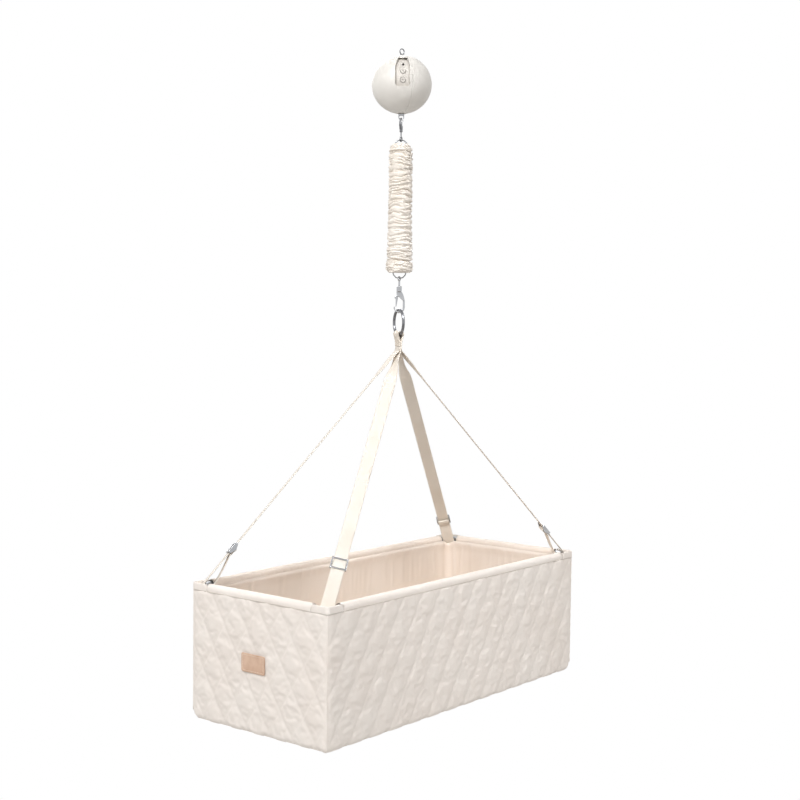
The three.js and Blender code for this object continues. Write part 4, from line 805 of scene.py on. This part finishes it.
boxSpec = {"length": 810, "depth": 350, "bottom": -1307.6, "hem": -1056.4, "rim": -1042.6, "corner": 8}
corners = {
    "left": {"x": -1, "y": 1, "layer": 1.5, "slider": 88},
    "front": {"x": -1, "y": -1, "layer": 0.5, "slider": 92},
    "back": {"x": 1, "y": 1, "layer": -0.5, "slider": 62},
    "right": {"x": 1, "y": -1, "layer": -1.5, "slider": 80},
}


# a place that lies as far in from both outsides at each corner
def atCorner(corner, inset, height=0.0):
    x, y = boxSpec["length"] / 2 - inset, boxSpec["depth"] / 2 - inset
    return Vector((corner["x"] * x, corner["y"] * y, height))


def outOf(corner):
    return Vector((corner["x"], corner["y"], 0)).normalized()


# straps: four layers of webbing leave the neck, each turns towards its corner and wraps the frame there

strapSpec = {
    "width": 25, "thickness": 1.3, "edge": 0.55, "pitch": 1.6, "neck": 8, "neckTop": -592.6, "bend": 10,
    "apexDrop": 4, "twistStart": 24, "twistLength": 70, "nearStep": 10, "farStep": 28, "farFrom": 110,
    "cornerTurn": 22, "clearance": 0.35, "tube": 6,
    "tubeInset": 9.5, "elbow": 33, "innerOffset": 10.6, "wrapStart": 40, "wrapEnd": -155, "wrapLead": 15,
    "barDrop": 4.05, "bar": 1.5, "gap": 0.3, "tail": 12, "sag": 1.4, "lap": 13,
    "fold": ((0.75, -12), (0.9, -5)), "foldTurn": (-20, 200),
    "stitchRows": (6.5, 10), "stitchWidth": 22, "step": 5, "returnStep": 3, "endStep": 1.2,
}
neckSpec = {"out": 3.35, "width": 19, "low": 1.5, "high": 7.5, "coarse": 0.45, "passes": 10}
# pitch and radius of each seam's threads, and places along a stitch: share of its length, height and width
threadSpec = {
    "strap": (2.8, 0.3), "neck": (2.6, 0.3), "hem": (4.2, 0.34), "patch": (2.9, 0.28),
    "shape": ((0, -0.5, 0.6), (0.25, 0.55, 1), (0.75, 0.55, 1), (1, -0.5, 0.6)),
}
neckWidth = polar(1, radians(ringSpec["turn"]))
neckStack = Vector((-neckWidth.y, neckWidth.x, 0))


def wrapPoint(leg, degrees):
    spec = strapSpec
    angle, start, end = (radians(value) for value in (degrees, -spec["wrapStart"] / 2, spec["wrapEnd"]))
    outer = spec["tube"] + spec["clearance"] + spec["thickness"] / 2
    radius = mix(outer, spec["innerOffset"] + spec["thickness"], smoothStep((start - angle) / (start - end)))
    return leg.elbow + leg.out * (radius * cos(angle)) + up * (radius * sin(angle))


# one strap's places, and its ways: out from the corner, across the tube, then up, wide and face of the strap
def legOf(corner):
    spec = strapSpec
    inset = spec["tubeInset"] + spec["elbow"] * (1 - sqrt(0.5))
    leg = SimpleNamespace(out=outOf(corner), slider=corner["slider"])
    leg.elbow = atCorner(corner, inset, boxSpec["rim"] - spec["tubeInset"])
    leg.across = Vector((-corner["y"], corner["x"], 0)).normalized()
    if leg.across.dot(neckWidth) < 0:
        leg.across.negate()
    leg.apex = neckStack * (corner["layer"] * spec["pitch"])
    leg.apex.z = spec["neckTop"] - spec["neck"] - spec["apexDrop"] * (1.5 - abs(corner["layer"]))
    leg.foot = wrapPoint(leg, spec["wrapStart"])
    leg.up = (leg.apex - leg.foot).normalized()
    leg.wide = (leg.across - leg.up * leg.across.dot(leg.up)).normalized()
    leg.face = leg.up.cross(leg.wide)
    if leg.face.dot(leg.out) + leg.face.z < 0:
        leg.face.negate()
    return leg


# where the middle of the strap runs, and which way its width points there
def legStations(leg):
    spec = strapSpec
    top = Vector((leg.apex.x, leg.apex.y, spec["neckTop"] - spec["gap"]))
    stations = [(top, neckWidth), (leg.apex, neckWidth)]
    length = (leg.apex - leg.foot).length
    distance = spec["bend"]
    while distance < length - spec["cornerTurn"]:
        turned = smoothStep((distance - spec["twistStart"]) / spec["twistLength"])
        stations.append((leg.apex - leg.up * distance, neckWidth.lerp(leg.wide, turned)))
        distance += spec["nearStep"] if distance < spec["farFrom"] else spec["farStep"]
    stations.append((leg.foot + leg.up * spec["cornerTurn"], leg.wide))
    return stations + [(wrapPoint(leg, mix(spec["wrapStart"], spec["wrapEnd"], i / 13)), leg.across)
                       for i in range(14)]


# the doubled end comes back up from the wrap to the slider
def returnStations(leg):
    spec = strapSpec
    before, wrapped = (wrapPoint(leg, spec["wrapEnd"] + more) for more in (spec["wrapLead"], 0))
    rise = leg.slider - spec["tail"] - spec["bar"] - spec["thickness"] - spec["gap"]
    end = leg.foot + leg.up * rise - leg.face * spec["barDrop"]
    stations = [(before, leg.across), (wrapped, leg.across)]
    for share in (0.3, 0.6, 0.85):
        sag = leg.face * (spec["sag"] * sin(pi * share))
        stations.append((wrapped.lerp(end, share) - sag, leg.across.lerp(leg.wide, share)))
    return stations + [(end, leg.wide), (end + leg.up * spec["lap"], leg.wide)]


# a smooth run through the stations, about one row every few millimetres
def smoothRun(stations, step):
    run = []
    for i in range(len(stations) - 1):
        (a, acrossA), (b, acrossB) = stations[i], stations[i + 1]
        before = stations[i - 1][0] if i > 0 else a * 2 - b
        after = stations[i + 2][0] if i + 2 < len(stations) else b * 2 - a
        span = (b - a).length
        leaving = (b - before) * (span / max((b - before).length, 1e-6))
        arriving = (after - a) * (span / max((after - a).length, 1e-6))
        count = max(1, round(span / step))
        for k in range(count):
            t = k / count
            point = (a * (2 * t ** 3 - 3 * t ** 2 + 1) + leaving * (t ** 3 - 2 * t ** 2 + t)
                     + b * (3 * t ** 2 - 2 * t ** 3) + arriving * (t ** 3 - t ** 2))
            run.append((point, acrossA.lerp(acrossB, t)))
    return run + [stations[-1]]


# webbing has a flat face and rounded woven edges
def webbing(name, run):
    half, thin = strapSpec["width"] / 2, strapSpec["thickness"] / 2
    face = [half - strapSpec["edge"] * strapSpec["thickness"], half * 0.66, half * 0.33, 0]
    face += [-a for a in reversed(face[:-1])]
    section = [(half, 0)] + [(a, thin) for a in face] + [(-half, 0)] + [(a, -thin) for a in reversed(face)]
    rows, uvs, travelled = [], [], 0.0
    for i, (centre, across) in enumerate(run):
        along = (run[min(i + 1, len(run) - 1)][0] - run[max(i - 1, 0)][0]).normalized()
        side = (across - along * across.dot(along)).normalized()
        thick = along.cross(side)
        if i:
            travelled += (centre - run[i - 1][0]).length
        rows.append([(centre + side * a + thick * b) * mm for a, b in section])
        uvs += [(a * mm, travelled * mm) for a, b in section]
    return loft(name, rows, uvs=uvs)


# short sewn threads along a line: each lies on the cloth and dives in at both ends
def sew(name, path, out, kind, slot, body="cradle"):
    pitch, radius = threadSpec[kind]
    lengths = [(b - a).length for a, b in zip(path, path[1:])]

    def at(distance):
        for i, length in enumerate(lengths):
            if distance <= length or i == len(lengths) - 1:
                return path[i].lerp(path[i + 1], max(0.0, min(1.0, distance / length)))
            distance -= length

    points, faces = [], []
    for n in range(int(sum(lengths) / pitch)):
        start, end = at((n + 0.15) * pitch), at((n + 0.85) * pitch)
        side = (end - start).normalized().cross(out).normalized()
        for share, high, wide in threadSpec["shape"]:
            centre = start.lerp(end, share) + out * (high * radius)
            points += [(centre + (side * cos(a) + out * sin(a)) * radius * wide) * mm for a in circle(6)]
        for here in range(n * 24, n * 24 + 18):
            there = here - 5 if here % 6 == 5 else here + 1
            faces.append((here, there, there + 6, here + 6))
    dress(meshObject(name, points, faces), "thread", body, slot)


# the end goes round the slider's middle bar and is sewn back on itself
def makeStrapEnd(side, leg):
    spec = strapSpec
    radius = spec["bar"] + spec["gap"] + spec["thickness"] / 2
    centre = leg.foot + leg.up * leg.slider - leg.face * spec["barDrop"]
    turn = [radians(mix(*spec["foldTurn"], i / 8)) for i in range(9)]
    path = list(spec["fold"]) + [(radius * cos(a), radius * sin(a)) for a in turn]
    path += [(-away, rise) for away, rise in reversed(spec["fold"])]
    stations = [(centre + leg.up * rise + leg.face * away, leg.wide) for away, rise in path]
    end = webbing("strap.end." + side, smoothRun(stations, spec["endStep"]))
    dress(end, "strapWebbing", "slider_" + side, "webbing", "strap_end_" + side)
    half = leg.wide * (spec["stitchWidth"] / 2)
    for n, drop in enumerate(spec["stitchRows"]):
        middle = centre - leg.up * drop - leg.face * (spec["fold"][1][0] + spec["thickness"] / 2)
        line = [middle - half, middle + half]
        sew("strap.end.stitch." + side + str(n), line, -leg.face, "strap", "webbing", "slider_" + side)


def makeStraps():
    for side, corner in corners.items():
        leg = legOf(corner)
        main = webbing("strap.leg." + side, smoothRun(legStations(leg), strapSpec["step"]))
        dress(main, "strapWebbing", "cradle", "webbing", "strap_" + side)
        back = smoothRun(returnStations(leg), strapSpec["returnStep"])
        tail = webbing("strap.return." + side, back)
        paint(tail, "strapWebbing")
        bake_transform(tail)
        makeStrapEnd(side, leg)


def makeRingWebbing():
    spec = neckSpec
    piece = softened("webbing.loop", "ring_webbing", spec["coarse"], spec["passes"])
    dress(piece, "loopWebbing", "cradle", "webbing", "ring_webbing")
    half, low, high = spec["width"] / 2, spec["low"], spec["high"]
    box = ((-half, low), (half, low), (half, high), (-half, high), (-half, low), (half, high))
    for name, sign in (("a", -1), ("b", 1)):
        centre = neckStack * (spec["out"] * sign) + up * strapSpec["neckTop"]
        path = [centre + neckWidth * a + up * b for a, b in box]
        sew("webbing.stitch." + name, path, neckStack * sign, "neck", "webbing")


makeStraps()
makeRingWebbing()
print("straps made")


# quilted walls: pillows between crossing seams, puffed by a short cloth run that the seams hold down

quiltSpec = {
    "diamondWidth": 58, "diamondHeight": 92, "puff": 3.1, "roundness": 0.42, "back": 6, "grid": 4,
    "trim": 0.4, "sideTrim": 0.25, "seamReach": 0.1, "notch": 2.6, "cornerLift": 13, "cornerReach": 17,
    "sideDepth": 1.4, "sideReach": 7, "footDepth": 3.4, "footReach": 9, "headReach": 5,
    "patchDepth": 1.1, "patchFade": 7, "crumple": 0.5, "crease": 0.28, "pucker": 0.55,
    "cloth": {"mass": 0.2, "stiffness": 12, "bending": 0.05, "shrink": -0.035, "frames": 14},
    "mostIn": 0.8, "mostOut": 1.7, "mostMoved": 2.6,
    "piping": 1.15, "pipingInset": 1.3, "pipingWave": 0.25,
    "pipingFoot": {"left": 16, "front": 3, "back": 16, "right": 16},
}
# each wall's turn, the height of its row of crossing seams and a seed for its folds
wallSpec = {
    "front": {"turn": 0, "level": 181, "seed": 3}, "right": {"turn": 90, "level": 242, "seed": 5},
    "back": {"turn": 180, "level": 181, "seed": 7}, "left": {"turn": -90, "level": 242, "seed": 11},
}
for wall in wallSpec.values():
    sides = ("length", "depth") if wall["turn"] in (0, 180) else ("depth", "length")
    wall["length"], wall["across"] = (boxSpec[side] for side in sides)
patchLow, patchHigh = (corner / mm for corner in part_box("label_patch"))


# the way that a wall looks
def outward(wall):
    turn = radians(wall["turn"])
    return Vector((sin(turn), -cos(turn), 0))


# 1 where the patch holds the quilt of the left wall down, fading out round it
def patchHold(wall, along, high):
    if wall["turn"] != -90:
        return 0.0
    level = high + boxSpec["bottom"]
    outside = max(patchLow.y + along, -along - patchHigh.y, patchLow.z - level, level - patchHigh.z)
    return smoothStep(1 - outside / quiltSpec["patchFade"])


# how far a place is from the two families of seams: 0 on a seam, 1 in the middle of a diamond
def seamShares(along, high):
    a = along / (quiltSpec["diamondWidth"] / 2)
    b = high / (quiltSpec["diamondHeight"] / 2)
    return tuple(1 - abs((value % 2) - 1) for value in (a + b, a - b))


# a place on a wall: straight in the middle, turning half of the corner at each end
def wallPoint(wall, along, depth, level):
    radius = boxSpec["corner"]
    straight = wall["length"] / 2 - radius
    angle = max(0.0, abs(along) - straight) / radius
    side = 1 if along > 0 else -1
    x = side * (min(abs(along), straight) + (radius - depth) * sin(angle))
    y = -wall["across"] / 2 + radius - (radius - depth) * cos(angle)
    turn = radians(wall["turn"])
    return Vector((x * cos(turn) - y * sin(turn), x * sin(turn) + y * cos(turn), level))


def quiltDepth(wall, along, high, reach):
    spec = quiltSpec
    first, second = seamShares(along, high - wall["level"])
    nearest = min(first, second)
    pillow = max(0.0, first * (2 - first) * second * (2 - second)) ** spec["roundness"]
    place = Vector((along / 14, high / 19, wall["seed"] * 5))
    crumple = noise(place) * spec["crumple"] + noise(place * 2.7) * spec["crease"]
    pucker = noise(Vector((along / 5.5, high / 26, wall["seed"]))) * spec["pucker"]
    pucker *= (1 - nearest) * min(1, nearest * 9)
    full = spec["puff"] * (0.02 + 0.98 * pillow) + (crumple + pucker) * min(1, 0.15 + nearest * 2.2)
    side = smoothStep((reach - abs(along)) / spec["sideReach"])
    foot = smoothStep(high / spec["footReach"])
    head = smoothStep((boxSpec["hem"] - boxSpec["bottom"] - high) / spec["headReach"])
    depth = max(0.05, spec["puff"] - full * side * (0.25 + 0.75 * foot) * (0.8 + 0.2 * head))
    depth = mix(spec["sideDepth"], depth, side) + spec["footDepth"] * (1 - smoothStep(high / 7)) ** 2
    return mix(depth, max(depth, spec["patchDepth"]), patchHold(wall, along, high))


# each seam draws the lower edge up a little, so the wall stands on shallow scallops
def footLift(wall, along, reach):
    notch = quiltSpec["notch"] * (1 - smoothStep(min(seamShares(along, -wall["level"])) * 2.6))
    square = wall["turn"] == 0 and along < 0 or wall["turn"] == -90 and along > 0
    end = 0 if square else max(0.0, 1 - (reach - abs(along)) / quiltSpec["cornerReach"])
    return notch + quiltSpec["cornerLift"] * end ** 2


# air pressure lifts the cloth off the seams and wrinkles it, inside the limits that the sewing sets
def puffWall(panel, pinned, wall):
    group = panel.vertex_groups.new(name="seams")
    for index, weight in enumerate(pinned):
        if weight > 0:
            group.add([index], weight, "REPLACE")
    away = outward(wall)
    if sum((p.normal for p in panel.data.polygons), Vector()).dot(away) < 0:
        panel.data.flip_normals()

    def hold(step):
        out = step.dot(away)
        kept = max(-quiltSpec["mostIn"] * mm, min(out, quiltSpec["mostOut"] * mm))
        return shortened(step - away * (out - kept), quiltSpec["mostMoved"] * mm)

    blowUp(panel, quiltSpec["cloth"], hold, "seams")


# the wall's back and its turned-in edges, behind the puffed face
def closeBack(panel, wall):
    inward = -outward(wall)
    face = (quiltSpec["back"] - wall["across"] / 2) * mm
    work = bmesh.new()
    work.from_mesh(panel.data)
    rim = [edge for edge in work.edges if edge.is_boundary]
    made = bmesh.ops.extrude_edge_only(work, edges=rim)["geom"]
    for vert in (item for item in made if isinstance(item, bmesh.types.BMVert)):
        vert.co += inward * (face - vert.co.dot(inward))
    bmesh.ops.holes_fill(work, edges=[edge for edge in work.edges if edge.is_boundary])
    bmesh.ops.recalc_face_normals(work, faces=work.faces)
    work.to_mesh(panel.data)
    work.free()


def makeWall(name, wall):
    low, corner, grid = boxSpec["bottom"], boxSpec["corner"], quiltSpec["grid"]
    reach = wall["length"] / 2 - corner + corner * pi / 4 - quiltSpec["sideTrim"]
    height = boxSpec["hem"] - low - quiltSpec["trim"]
    columns, levels = round(2 * reach / grid), round(height / grid)
    rows, pinned = [], []
    for i in range(levels + 1):
        level = height * i / levels
        row = []
        for j in range(columns + 1):
            along = mix(-reach, reach, j / columns)
            lift = footLift(wall, along, reach)
            high = lift + (height - lift) * i / levels
            row.append(wallPoint(wall, along, quiltDepth(wall, along, level, reach), low + high) * mm)
            nearest = min(seamShares(along, level - wall["level"]))
            edge = i in (0, levels) or j in (0, columns) or patchHold(wall, along, level) > 0.9
            pinned.append(1.0 if edge else max(0.0, 1 - (nearest / quiltSpec["seamReach"]) ** 2))
        rows.append(row)
    panel = loft("quilt." + name, rows, closedRow=False)
    puffWall(panel, pinned, wall)
    modify(panel, "SUBSURF", levels=1, render_levels=1)
    closeBack(applyAll(panel), wall)
    dress(panel, "quiltCotton", "cradle", "quilt_cloth", "panel_" + name)
    print("wall made:", name)


def makePiping(side, corner):
    low = boxSpec["bottom"] + quiltSpec["pipingFoot"][side]
    bend = boxSpec["corner"] - quiltSpec["pipingInset"]
    centre, out = atCorner(corner, boxSpec["corner"]), outOf(corner)
    path = []
    for i in range(41):
        away = out * (bend + quiltSpec["pipingWave"] * sin(i * 1.9))
        path.append((centre + away + up * mix(low, boxSpec["hem"], i / 40)) * mm)
    dress(wire("piping." + side, path, quiltSpec["piping"] * mm, 10), "quiltCotton", "cradle", "quilt_cloth")


for name, wall in wallSpec.items():
    makeWall(name, wall)
for side, corner in corners.items():
    makePiping(side, corner)


# hems: a fold of cloth over each rim tube, sewn through under it; the corners are left open for the straps

hemSpec = {
    "radius": 9.5, "height": 15.5, "cloth": 1.1, "turned": 0.52, "step": 3,
    "toe": ((0.3, 0), (0.05, 2.2), (0, 4)), "heel": ((0, 3), (-0.2, 0)),  # depth and rise of the lower edges
    "ruck": 0.55, "innerRuck": 0.16, "ruckLoss": 0.2, "mostRuck": 0.35, "stitchDrop": 13.4, "stitchInset": 3,
    "cornerGap": 42, "capGap": 0.4, "capWave": 0.35, "capDrop": 0.1, "capFoot": 3, "capThickness": 3,
    "capTop": ((0, -4), (0.35, -1.8), (1.1, -0.6), (2, -0.6), (2.7, -1.8), (3, -4)),
}


# the outside and the inside of the fold, as depth from the outer face and drop from the rim
def hemSection():
    radius, low, cloth = hemSpec["radius"], -hemSpec["height"], hemSpec["cloth"]
    toe = [(depth, low + rise) for depth, rise in hemSpec["toe"]]
    heel = [(2 * radius + depth, low + rise) for depth, rise in hemSpec["heel"]]

    def arch(bend, count, way):
        turn = [pi * i / count for i in range(count + 1)]
        return [(radius + way * bend * cos(a), bend * sin(a) - radius) for a in turn]

    inner = [(heel[-1][0] - cloth, low)] + arch(radius - cloth, 12, 1) + [(toe[0][0] + cloth, low)]
    return toe + arch(radius, 16, -1) + heel, inner


def makeHem(name, wall):
    spec = hemSpec
    half, centre = wall["length"] / 2 - spec["cornerGap"], spec["radius"]
    outer, inner = hemSection()
    count = round(2 * half / spec["step"])
    rows = []
    for i in range(count + 1):
        along = mix(-half, half, i / count)
        row = []
        for k, (depth, drop) in enumerate(outer + inner):
            place = Vector((along / 7, k / 6 if k < len(outer) else 0, wall["seed"]))
            slant = noise(place + Vector((k / 9, 0, 0))) + 0.5 * noise(place * 2.6)
            ruck = slant * (spec["ruck"] if 2 < k < len(outer) else spec["innerRuck"])
            away = Vector((depth - centre, drop + centre))
            if away.length > 0 and k < len(outer):
                away *= 1 + min(spec["mostRuck"], ruck - spec["ruckLoss"]) / centre
            row.append(wallPoint(wall, along, centre + away.x, boxSpec["rim"] - centre + away.y) * mm)
        rows.append(row)
    hem = loft("hem.cloth." + name, rows)
    dress(hem, "quiltCotton", "cradle", "quilt_cloth", "hem_" + name)
    hem.data.materials.append(finish["liningJersey"])
    edge = (2 * centre * spec["turned"] - wall["across"] / 2) * mm
    for face in hem.data.polygons:
        face.material_index = 1 if -face.center.dot(outward(wall)) > edge else 0
    sewn, level = half - spec["stitchInset"], boxSpec["rim"] - spec["stitchDrop"]
    line = [wallPoint(wall, mix(-sewn, sewn, i / 40), 0.0, level) for i in range(41)]
    sew("hem.stitch." + name, line, outward(wall), "hem", "quilt_cloth")


# a stiff turned edge round each corner, standing clear of the bent tube
def makeCornerCap(side, corner):
    reach, radius, step = hemSpec["cornerGap"] - hemSpec["capGap"], boxSpec["corner"], hemSpec["step"]
    straight = [i * step for i in range(int((reach - radius) / step) + 1)]
    turn = [radians(a) for a in range(9, 82, 9)]
    plan = [(radius - reach + a, 0.0) for a in straight]
    plan += [(radius * sin(a), radius - radius * cos(a)) for a in turn]
    plan += [(radius, radius + b) for b in straight]
    thick, low = hemSpec["capThickness"], -hemSpec["height"] - hemSpec["capDrop"]
    foot = low + hemSpec["capFoot"]
    section = [(hemSpec["capDrop"], low), (0, foot), *hemSpec["capTop"], (thick, foot), (thick, low)]
    rows = []
    for i, (a, b) in enumerate(plan):
        along = (Vector(plan[min(i + 1, len(plan) - 1)]) - Vector(plan[max(i - 1, 0)])).normalized()
        row = []
        for depth, drop in section:
            wave = noise(Vector((i / 2.5, drop / 6, corner["layer"] * 9)))
            inset = depth + hemSpec["capWave"] * wave
            x = boxSpec["length"] / 2 - radius + a - along.y * inset
            y = boxSpec["depth"] / 2 - b - along.x * inset
            row.append(Vector((x * corner["x"], y * corner["y"], boxSpec["rim"] + drop)) * mm)
        rows.append(row)
    dress(loft("corner.cloth." + side, rows), "quiltCotton", "cradle", "quilt_cloth")


for name, wall in wallSpec.items():
    makeHem(name, wall)
for side, corner in corners.items():
    makeCornerCap(side, corner)
print("hems made")


# lining: soft jersey hung inside, with upright puckers where it is gathered into the hem

liningSpec = {
    "length": 777.8, "depth": 317.8, "radius": 20, "top": -1054.5, "bottom": -1297.6, "cloth": 0.9,
    "play": 0.3, "cornerDip": 6, "gather": 3.4, "gatherStart": 0.93, "gatherEnd": 0.98, "step": 3.2,
    "levels": 30, "ridge": 1.9, "broad": 1.1, "deepAt": (389, 159), "deepReach": 90,
}


# places round the inside, each with the way that it faces
def liningPlan():
    spec = liningSpec
    radius = spec["radius"]
    x, y = spec["length"] / 2 - radius, spec["depth"] / 2 - radius
    centres = [Vector(place) for place in ((x, y), (-x, y), (-x, -y), (x, -y))]
    plan = []
    for k, centre in enumerate(centres):
        for i in range(9):
            facing = polar(1, radians(90 * k + 10 * i)).xy
            plan.append((centre + facing * radius, facing))
        facing = polar(1, radians(90 * k + 90)).xy
        start, end = (place + facing * radius for place in (centre, centres[(k + 1) % 4]))
        count = round((end - start).length / spec["step"])
        plan += [(start.lerp(end, i / count), facing) for i in range(count)]
    return plan


# depth of the puckers: sharp inward ridges of uneven spacing, deeper near the top and the back corner
def puckerDepth(along, share, place):
    spec = liningSpec
    drift = noise(Vector((along / 90, share * 1.6, 4))) * 16
    ridge = noise(Vector(((along + drift) / 24, share * 0.7, 1)))
    sharp = max(0.0, 1 - abs(ridge) * 3.4) ** 1.5
    broad = noise(Vector(((along + drift) / 46, share * 0.9, 7)))
    near = swell((place - Vector(spec["deepAt"])).length, spec["deepReach"])
    fade = (0.35 + 0.65 * share ** 0.8) * smoothStep((1 - share) * 14 + 0.2)
    return (spec["ridge"] * sharp * (1 + 0.8 * near) + spec["broad"] * (broad + 1)) * fade


def makeLining():
    spec = liningSpec
    plan = liningPlan()
    outer, inner = [], []
    for i in range(spec["levels"] + 1):
        share = i / spec["levels"]
        gathered = (share - spec["gatherStart"]) / (spec["gatherEnd"] - spec["gatherStart"])
        gather = spec["gather"] * smoothStep(gathered)
        outer.append([])
        inner.append([])
        travelled = 0.0
        for k, (point, facing) in enumerate(plan):
            if k:
                travelled += (point - plan[k - 1][0]).length
            dip = spec["cornerDip"] * abs(facing.x * facing.y) * 2
            high = mix(spec["bottom"], spec["top"] - dip, share)
            depth = spec["play"] + puckerDepth(travelled, share, point) + gather
            for rows, inset in ((outer, depth), (inner, depth + spec["cloth"])):
                rows[-1].append(Vector((*(point - facing * inset), high)) * mm)
    lining = loft("lining.jersey", outer + inner[::-1], closedRun=True)
    dress(lining, "liningJersey", "cradle", "lining_cloth", "lining")


# mattress: its cover swells between the edges and creases at the corners

mattressSpec = {
    "coarse": 7, "passes": 4, "mostMoved": 3,
    "cloth": {"mass": 0.25, "stiffness": 14, "bending": 0.3, "shrink": -0.03, "frames": 16},
}


def makeMattress():
    spec = mattressSpec
    mattress = softened("mattress.cover", "mattress", spec["coarse"], spec["passes"])
    blowUp(mattress, spec["cloth"], lambda step: shortened(step, spec["mostMoved"] * mm))
    modify(mattress, "SUBSURF", levels=1, render_levels=1)
    dress(applyAll(mattress), "mattressCotton", "cradle", "lining_cloth", "mattress")


# bows of the rim frame, and a plain leather patch sewn on by hand-sized stitches

bowSpec = {"coarse": 0.8, "passes": 12}
patchSpec = {"coarse": 0.45, "passes": 4, "inset": 3, "sunk": 0.02}


def makeBows():
    for side in ("left", "right"):
        bow = softened("frame.bow." + side, "frame_bow_" + side, bowSpec["coarse"], bowSpec["passes"])
        dress(bow, "zincSteel", "cradle", "steel", "frame_bow_" + side)


def makePatch():
    spec = patchSpec
    patch = softened("patch.leather", "label_patch", spec["coarse"], spec["passes"])
    dress(patch, "patchLeather", "cradle", "leather", "label_patch")
    low, high = patchLow + Vector((1, 1, 1)) * spec["inset"], patchHigh - Vector((1, 1, 1)) * spec["inset"]
    path = [Vector((patchLow.x + spec["sunk"], y, z)) for y, z in
            ((low.y, low.z), (high.y, low.z), (high.y, high.z), (low.y, high.z), (low.y, low.z))]
    sew("patch.stitch", path, Vector((-1, 0, 0)), "patch", "leather")


makeLining()
makeMattress()
makeBows()
makePatch()
print("lining, mattress and patch made")
